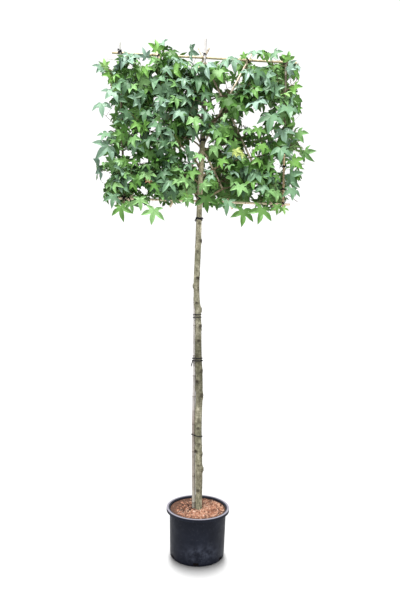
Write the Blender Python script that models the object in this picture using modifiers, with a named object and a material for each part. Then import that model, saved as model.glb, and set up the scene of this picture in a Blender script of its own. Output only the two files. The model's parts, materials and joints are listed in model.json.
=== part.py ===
# A pleached sweetgum: a young tree with a clear stem, its crown trained flat on a bamboo
# frame, standing in a black nursery pot.
# Metres, +Z up, +X to the right along the panel, -Y to the front.
# The origin is the middle of the pot's flat underside.
import math
import random

import bmesh
import bpy
from mathutils import Matrix, Vector
from mathutils.bvhtree import BVHTree
from mathutils.geometry import convex_hull_2d

GAP = 0.0003
MERGE_DISTANCE = 0.00005
SHARP_ANGLE = math.radians(40)

# Pot
POT_HEIGHT = 0.302
POT_WALL = 0.003
POT_FLOOR = 0.004
BASE_RADIUS = 0.174
BASE_ROUND = 0.008
BASE_EASE = 0.3
BODY_TOP_RADIUS = 0.183
RIM_RADIUS = 0.203
RIM_DEPTH = 0.020
RIM_THICKNESS = 0.004
POT_STEPS = 36
NOTCH_COUNT = 6
NOTCH_WIDTH = 0.030
NOTCH_HEIGHT = 0.012
NOTCH_LOW = 0.012

# Soil and its layer of bark
SOIL_LEVEL = 0.283
SOIL_RISE = 0.006
SOIL_LUMP = 0.002
# Waves of the lumps: round one way, round the other way, and outwards in radians a metre
SOIL_WAVES = (3, 5, 40)
SOIL_SEAT_RADIUS = 0.055
# Rings between the seat and the edge: radius and share of the rise
SOIL_RINGS = ((0.090, 0.4), (0.130, 0.8))
SOIL_STEPS = 32

# Trunk: height, sideways place and radius at each station
TRUNK_STATIONS = (
    (SOIL_LEVEL + GAP, 0.0050, 0.0255),
    (0.300, 0.0050, 0.0235),
    (0.345, 0.0049, 0.0220),
    (0.480, 0.0035, 0.0212),
    (0.620, 0.0000, 0.0208),
    (0.795, -0.0062, 0.0202),
    (0.912, -0.0077, 0.0204),
    (1.030, -0.0058, 0.0206),
    (1.146, -0.0092, 0.0202),
    (1.300, -0.0180, 0.0186),
    (1.480, -0.0222, 0.0184),
    (1.575, -0.0268, 0.0180),
    (1.680, -0.0362, 0.0184),
    (1.770, -0.0392, 0.0196),
    (1.887, -0.0360, 0.0196),
    (2.000, -0.0330, 0.0190),
    (2.100, -0.0320, 0.0180),
    (2.300, -0.0300, 0.0182),
    (2.580, -0.021, 0.0160),
    (2.830, -0.010, 0.0115),
    (3.190, -0.018, 0.0050),
)
TRUNK_RINGS = 27
TRUNK_SIDES = 12

# Bamboo frame: depth of each layer of canes, behind the trunk
CANE_RADIUS = 0.0065
SPINE_RADIUS = 0.0070
BRACE_RADIUS = 0.0060
SPINE_DEPTH = 0.0245
BAR_DEPTH = SPINE_DEPTH + SPINE_RADIUS + GAP + CANE_RADIUS
UPRIGHT_DEPTH = BAR_DEPTH - 2 * CANE_RADIUS - GAP
BRACE_DEPTH = BAR_DEPTH + CANE_RADIUS + GAP + BRACE_RADIUS
BACK_BRACE_DEPTH = BRACE_DEPTH + 2 * BRACE_RADIUS + GAP
CANE_SIDES = 8
TOP_BAR_HEIGHT = 3.240
LOW_BAR_HEIGHT = 2.295
TOP_BAR_ENDS = (-0.619, 0.602)
LOW_BAR_ENDS = (-0.561, 0.575)
LEFT_UPRIGHT = ((-0.519, 2.260), (-0.568, 3.300))
RIGHT_UPRIGHT = ((0.524, 2.265), (0.525, 3.275))
# The long centre cane, thickest at its foot: it stands beside the trunk and passes behind it
# higher up. Height, sideways place, depth and radius at each station
SPINE_STATIONS = (
    (SOIL_LEVEL + 2 * GAP, -0.0270, 0.0165, 0.0098),
    (0.560, -0.0328, 0.0100, 0.0096),
    (0.900, -0.0390, 0.0080, 0.0092),
    (1.250, -0.0425, 0.0140, 0.0087),
    (1.480, -0.0440, 0.0205, 0.0083),
    (1.680, -0.0458, 0.0262, 0.0079),
    (1.900, -0.0455, 0.0272, 0.0075),
    (2.240, -0.0408, SPINE_DEPTH, SPINE_RADIUS),
    (2.700, -0.0288, SPINE_DEPTH, SPINE_RADIUS),
    (3.354, -0.0110, SPINE_DEPTH, SPINE_RADIUS),
)
SPINE_POINTS = 15
# Within this half width the braces are tied at the middle and not one by one
CENTRE_WIDTH = 0.10
# Braces: the foot and the head of each, as sideways place and height
BRACES = (
    ("brace_right_up", BRACE_DEPTH, (-0.222, 2.252), (0.306, 3.306)),
    ("brace_left_down", BRACE_DEPTH, (-0.503, 2.262), (0.015, 3.314)),
    ("brace_right_down", BACK_BRACE_DEPTH, (0.482, 2.258), (-0.054, 3.317)),
    ("brace_left_up", BACK_BRACE_DEPTH, (0.194, 2.258), (-0.336, 3.281)),
)

# Ties
TIE_RADIUS = 0.0017
TIE_CORNERS = 8
TIE_SIDES = 4
TRUNK_TIE_HEIGHTS = (0.759, 1.247, 1.267, 1.533, 1.553, 2.180)
FORK_TIE_HEIGHT = 2.680
SHOOT_TIE_HEIGHTS = (2.390, 2.540)

# Crown: rows of four masses, from left to right
CROWN_FRONT = -0.165
CROWN_BACK = 0.190
SPACE_GAP = 0.002
# Inner walls between spaces lean with depth, so that leaves behind cover the seams in front
SIDE_LEAN = 0.50
FLOOR_LEAN = -0.30
ROWS = (
    {
        "name": "low",
        "edges": (-0.700, -0.310, -0.035, 0.225, 0.685),
        "floors": (2.105, 2.215, 2.185, 2.100),
        "top": 2.505,
        "bough_roots": (2.300, 2.385, 2.350, 2.255),
        "rises": (48, 49, 45, 48),
    },
    {
        "name": "middle",
        "edges": (-0.690, -0.340, -0.075, 0.290, 0.690),
        "floors": (2.505, 2.505, 2.505, 2.505),
        "top": 2.905,
        "bough_roots": (2.485, 2.620, 2.605, 2.435),
        "rises": (60, 50, 35, 40),
    },
    {
        "name": "high",
        "edges": (-0.705, -0.350, 0.020, 0.320, 0.670),
        "floors": (2.905, 2.905, 2.905, 2.905),
        "top": 3.320,
        "bough_roots": (2.790, 2.935, 2.905, 2.745),
        "rises": (55, 50, 48, 50),
    },
)
COLUMNS = ("far_left", "left", "right", "far_right")
BOUGH_STEP = 0.045
BOUGH_TIP_RISE = 6
BOUGH_EASE = 0.8
BOUGH_SIDES = 6
SHORT_BOUGH_REACH = 0.085
LONG_BOUGH_RADII = (0.0085, 0.0045)
SHORT_BOUGH_RADII = (0.0062, 0.0040)
BOUGH_FORWARD = 0.003

# Twigs and leaves
STEM_RADII = (0.0034, 0.0016)
STEM_POINTS = 5
STEM_SIDES = 4
STEM_LEAD = 0.010
# How far a long stem's tip stays from the far wall of its space, its depth there, and the
# height that a short stem still gains
STEM_END = 0.07
STEM_END_DEPTH = -0.004
SHORT_STEM_RISE = 0.03
TWIG_SPACING = 0.062
TWIG_FIRST = 0.06
TWIG_LAST = 0.97
TWIG_LEAST = 4
TWIG_LENGTHS = (0.055, 0.230)
TWIG_RADII = (0.0026, 0.0016)
TWIG_SPREADS = (112, 40)
TWIG_TURNS = (40, 220, 320, 140)
# Degrees that a twig may stray from its turn and from its spread
TWIG_STRAY = (25, 14)
# A twig that would touch a limb is tried again, each time straying more and shorter
TWIG_RETRY = (0.3, 0.08)
TWIG_EVENNESS = 0.85
TWIG_MARGIN = 0.055
LEAF_SPACING = 0.034
LEAF_SIZES = (0.078, 0.100)
LEAF_THICKNESS = 0.0030
LEAF_CUP = 0.16
LEAF_TRIES = 14
LEAVES_A_SQUARE_METRE = 165
LEAF_DEPTH_WEIGHT = 0.55
TWIG_TRIES = 6
STALK_LENGTHS = (0.035, 0.085)
STALK_RADII = (0.0010, 0.0008)
STALK_CLEAR = 0.008
LIMB_CLEARANCE = 0.0015
GOLDEN_ANGLE = 137.5
STALK_STRAY = 25
STALK_ALONG_TWIG = 0.6
# Which way blades look: leaves nearer than this depth face the front. The rest are shares of
# a unit added to the way they face
BLADE_TURN_DEPTH = 0.02
BLADE_OUTWARD = 0.5
BLADE_UPWARD = 0.45
BLADE_SHAKE = 0.42
BLADE_ALONG_STALK = 0.40
BLADE_SWING = 0.5
BLADE_DROOP = 0.75
# Where on a blade its leaf is measured from, when leaves are spread evenly
BLADE_MIDDLE = 0.3
SEED = 41
# Half of the blade's outline, as degrees from the tip and reach: lobes and the notches between
LEAF_OUTLINE = ((0, 1.00), (28, 0.48), (58, 0.93), (91, 0.44), (125, 0.66), (180, 0.14))

# Gaps in the crown where the sky shows to an eye at EYE: middle and half size on the panel
EYE = Vector((-0.18, -2.95, 1.49))
SKY_GAPS = (
    (-0.336, 3.085, 0.030, 0.026),
    (0.093, 3.020, 0.026, 0.034),
    (0.355, 2.857, 0.045, 0.034),
    (0.460, 2.535, 0.040, 0.036),
    (-0.511, 2.600, 0.038, 0.022),
    (-0.382, 2.520, 0.045, 0.022),
    (-0.062, 2.670, 0.018, 0.034),
    (0.022, 2.560, 0.020, 0.040),
)

SIDE = Vector((1, 0, 0))
BACK = Vector((0, 1, 0))
UP = Vector((0, 0, 1))


def clear_scene():
    for obj in list(bpy.data.objects):
        bpy.data.objects.remove(obj, do_unlink=True)


def new_collection(name):
    collection = bpy.data.collections.new(name)
    bpy.context.scene.collection.children.link(collection)
    return collection


def material(name, color, roughness):
    made = bpy.data.materials.new(name)
    made.use_nodes = True
    shader = made.node_tree.nodes["Principled BSDF"]
    shader.inputs["Base Color"].default_value = (*color, 1)
    shader.inputs["Roughness"].default_value = roughness
    shader.inputs["Metallic"].default_value = 0
    return made


def place(obj, name, collection, look=None):
    obj.name = name
    obj.data.name = name
    if look:
        obj.data.materials.clear()
        obj.data.materials.append(look)
    for owner in list(obj.users_collection):
        owner.objects.unlink(obj)
    collection.objects.link(obj)
    return obj


def object_from_bmesh(bm, name, collection, look=None):
    mesh = bpy.data.meshes.new(name)
    bm.to_mesh(mesh)
    bm.free()
    return place(bpy.data.objects.new(name, mesh), name, collection, look)


def shade_round(obj):
    obj.data.shade_smooth()
    obj.data.set_sharp_from_angle(angle=SHARP_ANGLE)


# A round limb, cane or band along points, with its own radius at each point
def tube(name, points, radii, sides, collection, look=None, closed=False):
    curve = bpy.data.curves.new(name, "CURVE")
    curve.dimensions = "3D"
    curve.bevel_depth = 1.0
    curve.bevel_resolution = (sides - 4) // 2
    curve.use_fill_caps = not closed
    spline = curve.splines.new("POLY")
    spline.points.add(len(points) - 1)
    spline.use_cyclic_u = closed
    for point, where, radius in zip(spline.points, points, radii):
        point.co = (*where, 1)
        point.radius = radius
    return place(bpy.data.objects.new(name, curve), name, collection, look)


# The same tube as a closed mesh, so that it can be cut or joined
def mesh_tube(name, points, radii, sides, collection, look=None):
    drawn = tube(name + "_curve", points, radii, sides, collection)
    bpy.context.view_layer.update()
    evaluated = drawn.evaluated_get(bpy.context.evaluated_depsgraph_get())
    mesh = bpy.data.meshes.new_from_object(evaluated)
    bm = bmesh.new()
    bm.from_mesh(mesh)
    bmesh.ops.remove_doubles(bm, verts=bm.verts, dist=MERGE_DISTANCE)
    bm.to_mesh(mesh)
    bm.free()
    solid = bpy.data.objects.new(name, mesh)
    solid.matrix_world = drawn.matrix_world
    bpy.data.objects.remove(drawn, do_unlink=True)
    place(solid, name, collection, look)
    shade_round(solid)
    return solid


# Values at a height, eased through the stations on both sides of it
def read_stations(stations, height):
    last = len(stations) - 1
    height = min(max(height, stations[0][0]), stations[last][0])
    index = max(i for i in range(last) if stations[i][0] <= height)
    before = stations[max(index - 1, 0)]
    start = stations[index]
    end = stations[index + 1]
    after = stations[min(index + 2, last)]
    span = end[0] - start[0]
    t = (height - start[0]) / span
    values = []
    for column in range(1, len(start)):
        slope_in = (end[column] - before[column]) / (end[0] - before[0]) * span
        slope_out = (after[column] - start[column]) / (after[0] - start[0]) * span
        rise = start[column] - end[column]
        values.append(
            start[column]
            + t * slope_in
            + t * t * (-3 * rise - 2 * slope_in - slope_out)
            + t * t * t * (2 * rise + slope_in + slope_out)
        )
    return values


def trunk_at(height):
    sideways, radius = read_stations(TRUNK_STATIONS, height)
    return Vector((sideways, 0, height)), radius


def spine_at(height):
    sideways, depth, radius = read_stations(SPINE_STATIONS, height)
    return Vector((sideways, depth, height)), radius


def evenly(start, end, count):
    return [start + (end - start) * i / (count - 1) for i in range(count)]


def between(ends, share):
    return ends[0] + (ends[1] - ends[0]) * share


# Pot, turned from its outline and closed by the Screw modifier, then notched at the base
def make_pot(collection, cutters, look):
    inner_top = BODY_TOP_RADIUS - POT_WALL
    inner_base = BASE_RADIUS - POT_WALL
    outline = [
        (RIM_RADIUS - RIM_THICKNESS / 2, POT_HEIGHT),
        (RIM_RADIUS, POT_HEIGHT - RIM_THICKNESS / 2),
        (RIM_RADIUS, POT_HEIGHT - RIM_DEPTH),
        (RIM_RADIUS - RIM_THICKNESS, POT_HEIGHT - RIM_DEPTH),
        (RIM_RADIUS - RIM_THICKNESS, POT_HEIGHT - RIM_THICKNESS),
        (BODY_TOP_RADIUS, POT_HEIGHT - RIM_THICKNESS),
        (BASE_RADIUS, BASE_ROUND),
        (BASE_RADIUS - BASE_ROUND * BASE_EASE, BASE_ROUND * BASE_EASE),
        (BASE_RADIUS - BASE_ROUND, 0),
        (0, 0),
    ]
    inside = [
        (0, POT_FLOOR),
        (inner_base, POT_FLOOR),
        (inner_top, POT_HEIGHT),
    ]
    bm = bmesh.new()
    corners = [bm.verts.new((radius, 0, height)) for radius, height in outline + inside]
    for a, b in zip(corners, corners[1:] + corners[:1]):
        if a.co.x > 0 or b.co.x > 0:
            bm.edges.new((a, b))
    pot = object_from_bmesh(bm, "pot", collection, look)
    screw = pot.modifiers.new("turn", "SCREW")
    screw.axis = "Z"
    screw.steps = POT_STEPS
    screw.render_steps = POT_STEPS
    screw.use_merge_vertices = True
    screw.merge_threshold = MERGE_DISTANCE
    for index in range(NOTCH_COUNT):
        turn = Matrix.Rotation(math.tau * index / NOTCH_COUNT, 4, "Z")
        bm = bmesh.new()
        bmesh.ops.create_cube(bm, size=1)
        size = Matrix.Diagonal((NOTCH_WIDTH, 4 * POT_WALL, NOTCH_HEIGHT, 1))
        middle = Vector((0, -BASE_RADIUS, NOTCH_LOW + NOTCH_HEIGHT / 2))
        bmesh.ops.transform(bm, matrix=turn @ Matrix.Translation(middle) @ size, verts=bm.verts)
        cutter = object_from_bmesh(bm, f"pot_notch_{index + 1}", cutters)
        cutter.hide_render = True
        cutter.display_type = "WIRE"
        cut = pot.modifiers.new(f"notch_{index + 1}", "BOOLEAN")
        cut.operation = "DIFFERENCE"
        cut.object = cutter
    return pot


# Soil: it fills the pot, with a gently uneven top and a flat seat round the trunk
def make_soil(collection, look):
    floor = POT_FLOOR + GAP
    slope = (BODY_TOP_RADIUS - BASE_RADIUS) / (POT_HEIGHT - POT_FLOOR)
    facet = math.cos(math.pi / POT_STEPS)
    low_radius = (BASE_RADIUS - POT_WALL) * facet - 2 * GAP
    edge_height = SOIL_LEVEL + SOIL_RISE
    edge_radius = low_radius + slope * (edge_height - floor)
    rings = ((SOIL_SEAT_RADIUS, 0), *SOIL_RINGS, (edge_radius, 1))
    profile = [(0, SOIL_LEVEL)]
    profile += [(radius, SOIL_LEVEL + SOIL_RISE * rise) for radius, rise in rings]
    profile += [(low_radius, floor), (0, floor)]
    bm = bmesh.new()
    corners = [bm.verts.new((radius, 0, height)) for radius, height in profile]
    for a, b in zip(corners, corners[1:]):
        bm.edges.new((a, b))
    bmesh.ops.spin(
        bm, geom=bm.verts[:] + bm.edges[:], cent=(0, 0, 0), axis=(0, 0, 1),
        dvec=(0, 0, 0), angle=math.tau, steps=SOIL_STEPS,
    )
    bmesh.ops.remove_doubles(bm, verts=bm.verts, dist=MERGE_DISTANCE)
    spiral, star, outward = SOIL_WAVES
    for vert in bm.verts:
        radius = vert.co.xy.length
        if SOIL_SEAT_RADIUS + GAP < radius < edge_radius - GAP and vert.co.z > SOIL_LEVEL:
            turn = math.atan2(vert.co.y, vert.co.x)
            wave = math.sin(spiral * turn + outward * radius) * math.cos(star * turn)
            vert.co.z += SOIL_LUMP * wave
    bmesh.ops.recalc_face_normals(bm, faces=bm.faces)
    soil = object_from_bmesh(bm, "bark_mulch", collection, look)
    shade_round(soil)
    return soil


# The trunk's centres and radii, ring by ring, with room added to each radius
def trunk_rings(room=0):
    heights = [TRUNK_STATIONS[0][0]]
    heights += evenly(TRUNK_STATIONS[1][0], TRUNK_STATIONS[-1][0], TRUNK_RINGS)
    rings = [trunk_at(height) for height in heights]
    return [centre for centre, radius in rings], [radius + room for centre, radius in rings]


def make_trunk(collection, look):
    centres, radii = trunk_rings()
    return tube("trunk", centres, radii, TRUNK_SIDES, collection, look)


# The trunk with a gap round it, which cuts each bough's root to sit against the bark
def make_trunk_cutter(cutters):
    centres, radii = trunk_rings(1.5 * GAP)
    cutter = mesh_tube("trunk_gap", centres, radii, TRUNK_SIDES, cutters)
    cutter.hide_render = True
    cutter.display_type = "WIRE"
    return cutter


# A bough leaves the trunk's middle at its rise and eases towards level as it runs out
def bough_path(side, root_height, rise, reach):
    centre = trunk_at(root_height)[0]
    start = centre.x
    points = [centre.copy()]
    while side * (points[-1].x - reach) < 0:
        share = (points[-1].x - start) / (reach - start)
        angle = math.radians(rise + (BOUGH_TIP_RISE - rise) * min(share, 1) ** BOUGH_EASE)
        step = Vector((side * math.cos(angle), 0, math.sin(angle))) * BOUGH_STEP
        step.y = -BOUGH_FORWARD * math.sin(math.pi * share)
        points.append(points[-1] + step)
    return points


def make_bough(name, points, radii, trunk_cutter, collection, look):
    sizes = [between(radii, i / (len(points) - 1)) for i in range(len(points))]
    bough = mesh_tube(name, points, sizes, BOUGH_SIDES, collection, look)
    cut = bough.modifiers.new("seat", "BOOLEAN")
    cut.operation = "DIFFERENCE"
    cut.object = trunk_cutter
    return bough


def cane_end(place_and_height, depth):
    return Vector((place_and_height[0], depth, place_and_height[1]))


# Every cane by its name, as its points and the radius at each
def cane_list():
    spine_heights = evenly(SPINE_STATIONS[0][0], SPINE_STATIONS[-1][0], SPINE_POINTS)
    rings = [spine_at(height) for height in spine_heights]
    canes = {"cane_spine": ([centre for centre, radius in rings], [radius for centre, radius in rings])}
    for name, height, ends in (
        ("cane_top", TOP_BAR_HEIGHT, TOP_BAR_ENDS),
        ("cane_low", LOW_BAR_HEIGHT, LOW_BAR_ENDS),
    ):
        canes[name] = ([Vector((x, BAR_DEPTH, height)) for x in ends], [CANE_RADIUS] * 2)
    for name, ends in (("cane_left", LEFT_UPRIGHT), ("cane_right", RIGHT_UPRIGHT)):
        canes[name] = ([cane_end(end, UPRIGHT_DEPTH) for end in ends], [CANE_RADIUS] * 2)
    for name, depth, foot, head in BRACES:
        canes[name] = ([cane_end(foot, depth), cane_end(head, depth)], [BRACE_RADIUS] * 2)
    return canes


# The level section of a cane or the trunk at a height, as its place, depth and half width
def section(points, radii, height):
    for index, (start, end) in enumerate(zip(points, points[1:])):
        if start.z <= height <= end.z:
            share = (height - start.z) / (end.z - start.z)
            where = start.lerp(end, share)
            radius = between((radii[index], radii[index + 1]), share)
            return where.x, where.y, radius * (end - start).length / (end.z - start.z)
    raise ValueError(f"nothing stands at {height}")


# A taut band round things whose sections are given. It climbs by its lean for each metre
# sideways, so that it can cross a bar on the slant
def tie_loop(sections, height, lean=0):
    seat = 2 * GAP + TIE_RADIUS * math.cos(math.pi / TIE_SIDES)
    step = math.tau / TIE_CORNERS
    corners = []
    for x, y, radius in sections:
        reach = (radius + seat) / math.cos(step / 2)
        for index in range(TIE_CORNERS):
            angle = (index + 0.5) * step
            corners.append(Vector((x + reach * math.cos(angle), y + reach * math.sin(angle))))
    outline = [corners[index] for index in convex_hull_2d(corners)]
    middle = sections[0][0]
    return [Vector((corner.x, corner.y, height + lean * (corner.x - middle))) for corner in outline]


# Ties where the two bars cross the uprights and the braces
def bar_ties(canes):
    ties = []
    for name, height in (("top", TOP_BAR_HEIGHT), ("low", LOW_BAR_HEIGHT)):
        for label, lean in (("left", 1), ("right", -1)):
            upright = section(*canes[f"cane_{label}"], height)
            bar = (upright[0], BAR_DEPTH, CANE_RADIUS)
            ties.append((f"tie_{name}_{label}", tie_loop((upright, bar), height, lean)))
        for label, depth, foot, head in BRACES:
            brace = section(*canes[label], height)
            if abs(brace[0]) > CENTRE_WIDTH:
                bar = (brace[0], BAR_DEPTH, CANE_RADIUS)
                lean = 1 if head[0] < foot[0] else -1
                ties.append((f"tie_{name}_{label}", tie_loop((bar, brace), height, lean)))
    return ties


# Every tie as its name and its band's points
def tie_list(canes):
    trunk = trunk_rings()
    spine = canes["cane_spine"]
    ties = []
    for index, height in enumerate(TRUNK_TIE_HEIGHTS):
        held = (section(*trunk, height), section(*spine, height))
        ties.append((f"tie_trunk_{index + 1}", tie_loop(held, height)))
    height = FORK_TIE_HEIGHT
    held = [section(*trunk, height), section(*spine, height)]
    held += [section(*canes[name], height) for name in ("brace_right_up", "brace_left_up")]
    ties.append(("tie_fork", tie_loop(held, height)))
    height = TOP_BAR_HEIGHT + CANE_RADIUS + GAP + TIE_RADIUS
    held = [section(*spine, height)]
    held += [section(*canes[name], height) for name in ("brace_left_down", "brace_right_down")]
    ties.append(("tie_top_middle", tie_loop(held, height)))
    height = LOW_BAR_HEIGHT
    held = [section(*trunk_rings(2 * GAP), height), section(*spine, height)]
    held.append((held[0][0], BAR_DEPTH, CANE_RADIUS))
    ties.append(("tie_low_trunk", tie_loop(held, height, 1)))
    for index, height in enumerate(SHOOT_TIE_HEIGHTS):
        held = [section(*canes["cane_right"], height)]
        ties.append((f"tie_shoot_{index + 1}", tie_loop(held, height)))
    return ties + bar_ties(canes)


# A three-sided cone between two points, for a twig
def add_rod(bm, start, end, radii):
    length = (end - start).length
    turn = (end - start).to_track_quat("Z", "X").to_matrix().to_4x4()
    matrix = Matrix.Translation((start + end) / 2) @ turn
    bmesh.ops.create_cone(
        bm, cap_ends=True, segments=3, radius1=radii[0], radius2=radii[1],
        depth=length, matrix=matrix,
    )


# A five-lobed leaf on its stalk, as one closed skin: a low peak over the blade, an underside
# drawn in from the rim to the three-sided neck, and the stalk from the neck to its foot
def add_leaf(bm, foot, base, tip_way, normal, size):
    across = normal.cross(tip_way)
    stalk = (base - foot).normalized()
    lean = normal.rotation_difference(stalk)
    outline = list(LEAF_OUTLINE)
    outline += [(-degrees, reach) for degrees, reach in reversed(LEAF_OUTLINE[1:-1])]
    peak = bm.verts.new(base + normal * LEAF_THICKNESS / 2)
    rim = []
    for degrees, reach in outline:
        angle = math.radians(degrees)
        spread = (tip_way * math.cos(angle) + across * math.sin(angle)) * reach * size
        rim.append(bm.verts.new(base + spread - normal * LEAF_CUP * reach * reach * size))
    neck = []
    heel = []
    for corner in range(3):
        angle = math.tau * (corner + 0.5) / 3
        outward = tip_way * math.cos(angle) + across * math.sin(angle)
        neck.append(bm.verts.new(base - normal * LEAF_THICKNESS / 2 + outward * STALK_RADII[1]))
        heel.append(bm.verts.new(foot + lean @ outward * STALK_RADII[0]))
    for index in range(len(rim)):
        after = (index + 1) % len(rim)
        near = [int((rim_index + 0.5) * 3 / len(rim)) for rim_index in (index, after)]
        bm.faces.new((peak, rim[index], rim[after]))
        bm.faces.new((neck[near[0]], rim[after], rim[index]))
        if near[0] != near[1]:
            bm.faces.new((neck[near[0]], neck[near[1]], rim[after]))
    for corner in range(3):
        after = (corner + 1) % 3
        bm.faces.new((neck[after], neck[corner], heel[corner], heel[after]))
    bm.faces.new(heel)


def closed_bmesh(build, *values):
    bm = bmesh.new()
    build(bm, *values)
    bmesh.ops.remove_doubles(bm, verts=bm.verts, dist=MERGE_DISTANCE / 2)
    bmesh.ops.recalc_face_normals(bm, faces=bm.faces)
    return bm


# The room that a mass keeps to: its walls, front and back, each inner wall with its lean
def make_space(row_index, index):
    row = ROWS[row_index]
    sway = SIDE_LEAN * (1 if row_index % 2 else -1)
    half_gap = SPACE_GAP / 2
    top_row = row_index == len(ROWS) - 1
    return {
        "left": (row["edges"][index] + half_gap, sway if index > 0 else 0),
        "right": (row["edges"][index + 1] - half_gap, sway if index < len(COLUMNS) - 1 else 0),
        "floor": (row["floors"][index] + half_gap, FLOOR_LEAN if row_index > 0 else 0),
        "top": (row["top"] - half_gap, 0 if top_row else FLOOR_LEAN),
    }


def wall_at(wall, y):
    return wall[0] + wall[1] * y


def in_space(bm, space):
    for vert in bm.verts:
        x, y, z = vert.co
        if not CROWN_FRONT < y < CROWN_BACK:
            return False
        if not wall_at(space["left"], y) < x < wall_at(space["right"], y):
            return False
        if not wall_at(space["floor"], y) < z < wall_at(space["top"], y):
            return False
    return True


# Where the line of sight from the eye through a point meets the panel
def on_panel(point):
    share = (0 - EYE.y) / (point.y - EYE.y)
    return EYE + (point - EYE) * share


def in_sky_gap(bm):
    for vert in bm.verts:
        seen = on_panel(vert.co)
        for x, z, half_width, half_height in SKY_GAPS:
            if ((seen.x - x) / half_width) ** 2 + ((seen.z - z) / half_height) ** 2 < 1:
                return True
    return False


def hits(bm, trees):
    own = BVHTree.FromBMesh(bm)
    return any(own.overlap(tree) for tree in trees)


# Trees of faces round every limb, cane and tie, a clearance larger than they are
def limb_trees(tubes):
    trees = []
    shelf = new_collection("clearance")
    for index, (points, radii, closed) in enumerate(tubes):
        wide = [(radius + LIMB_CLEARANCE) / math.cos(math.pi / CANE_SIDES) for radius in radii]
        if closed:
            points = points + points[:1]
            wide = wide + wide[:1]
        solid = mesh_tube(f"clear_{index}", points, wide, CANE_SIDES, shelf)
        bm = bmesh.new()
        bm.from_mesh(solid.data)
        trees.append(BVHTree.FromBMesh(bm))
        bm.free()
        bpy.data.objects.remove(solid, do_unlink=True)
    bpy.data.collections.remove(shelf)
    return trees


def stem_path(start, heading, goal):
    first = start + heading * STEM_LEAD
    bend = first + heading * (goal - first).length * 0.5
    points = [start]
    for t in evenly(0, 1, STEM_POINTS):
        points.append(first * (1 - t) ** 2 + bend * 2 * t * (1 - t) + goal * t * t)
    return points


# How far a straight twig can run from a point before it meets a wall of its space
def room_ahead(point, way, space):
    walls = [
        (CROWN_BACK - point.y, way.y),
        (point.y - CROWN_FRONT, -way.y),
    ]
    for name, value, step, sign in (
        ("left", point.x, way.x, -1),
        ("right", point.x, way.x, 1),
        ("floor", point.z, way.z, -1),
        ("top", point.z, way.z, 1),
    ):
        place_there, lean = space[name]
        walls.append((sign * (place_there + lean * point.y - value), sign * (step - lean * way.y)))
    return min(distance / speed for distance, speed in walls if speed > 0.0001)


# Side twigs leave the stem in turn: up and down the panel, to the front and to the back
def grow_twigs(points, space, trees, rng):
    lengths = [(b - a).length for a, b in zip(points, points[1:])]
    total = sum(lengths)
    twigs = []
    count = max(TWIG_LEAST, round(total / TWIG_SPACING))
    turn_stray, spread_stray = TWIG_STRAY
    wider, shorter = TWIG_RETRY
    for index in range(count + 1):
        distance = total * between((TWIG_FIRST, TWIG_LAST), index / count)
        piece = 0
        while piece < len(lengths) - 1 and distance > lengths[piece]:
            distance -= lengths[piece]
            piece += 1
        along = (points[piece + 1] - points[piece]).normalized()
        start = points[piece] + along * distance
        outward = along.cross(BACK).normalized()
        if outward.z < 0:
            outward = -outward
        for attempt in range(TWIG_TRIES):
            turn = TWIG_TURNS[index % len(TWIG_TURNS)]
            turn += rng.uniform(-turn_stray, turn_stray) * (1 + wider * attempt)
            sideways = Matrix.Rotation(math.radians(turn), 3, along) @ outward
            spread = between(TWIG_SPREADS, index / count) + rng.uniform(-spread_stray, spread_stray)
            spread = math.radians(spread)
            way = (along * math.cos(spread) + sideways * math.sin(spread)).normalized()
            room = room_ahead(start, way, space) - TWIG_MARGIN
            length = min(max(room, TWIG_LENGTHS[0]), TWIG_LENGTHS[1]) * rng.uniform(TWIG_EVENNESS, 1)
            length *= 1 - shorter * attempt
            end = start + way * length
            bm = closed_bmesh(add_rod, start, end, TWIG_RADII)
            fits = in_space(bm, space) and not hits(bm, trees)
            bm.free()
            if fits:
                twigs.append((start, end))
                break
    return twigs


# Blades look out of the panel on their own side, a little upwards, and droop at the tip
def blade_ways(stalk, where, space, rng):
    facing = -BACK if where.y < BLADE_TURN_DEPTH else BACK
    left, right = space["left"][0], space["right"][0]
    outer = SIDE * (BLADE_OUTWARD * (where.x - (left + right) / 2) / (right - left))
    shake = Vector([rng.uniform(-BLADE_SHAKE, BLADE_SHAKE) for axis in range(3)])
    normal = (facing + UP * BLADE_UPWARD + outer + shake).normalized()
    normal = (normal - stalk * (normal.dot(stalk) - BLADE_ALONG_STALK)).normalized()
    hang = stalk + Vector((rng.uniform(-BLADE_SWING, BLADE_SWING), 0, -BLADE_DROOP))
    tip_way = (hang - normal * hang.dot(normal)).normalized()
    return tip_way, normal


def grow_mass(name, space, start, heading, goal, trees, rng, loose, collection, look):
    points = stem_path(start, heading, goal)
    radii = [between(STEM_RADII, i / (len(points) - 1)) for i in range(len(points))]
    stem = mesh_tube(name, points, radii, STEM_SIDES, collection, look)
    stem.data.shade_flat()
    own = []
    candidates = []
    twigs = grow_twigs(points, space, trees, rng)
    for root, tip in twigs:
        bm = closed_bmesh(add_rod, root, tip, TWIG_RADII)
        own.append(BVHTree.FromBMesh(bm))
        object_from_bmesh(bm, "twig", loose)
        candidates += leaf_candidates(root, tip, space, trees, rng)
    width = space["right"][0] - space["left"][0]
    height = space["top"][0] - space["floor"][0]
    wanted = round(LEAVES_A_SQUARE_METRE * width * height)
    grown = spread_leaves(candidates, wanted, own, loose)
    join_loose(stem, loose)
    print(f"{name}: {grown} leaves on {len(twigs)} twigs, {len(stem.data.polygons)} faces")
    return grown


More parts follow.
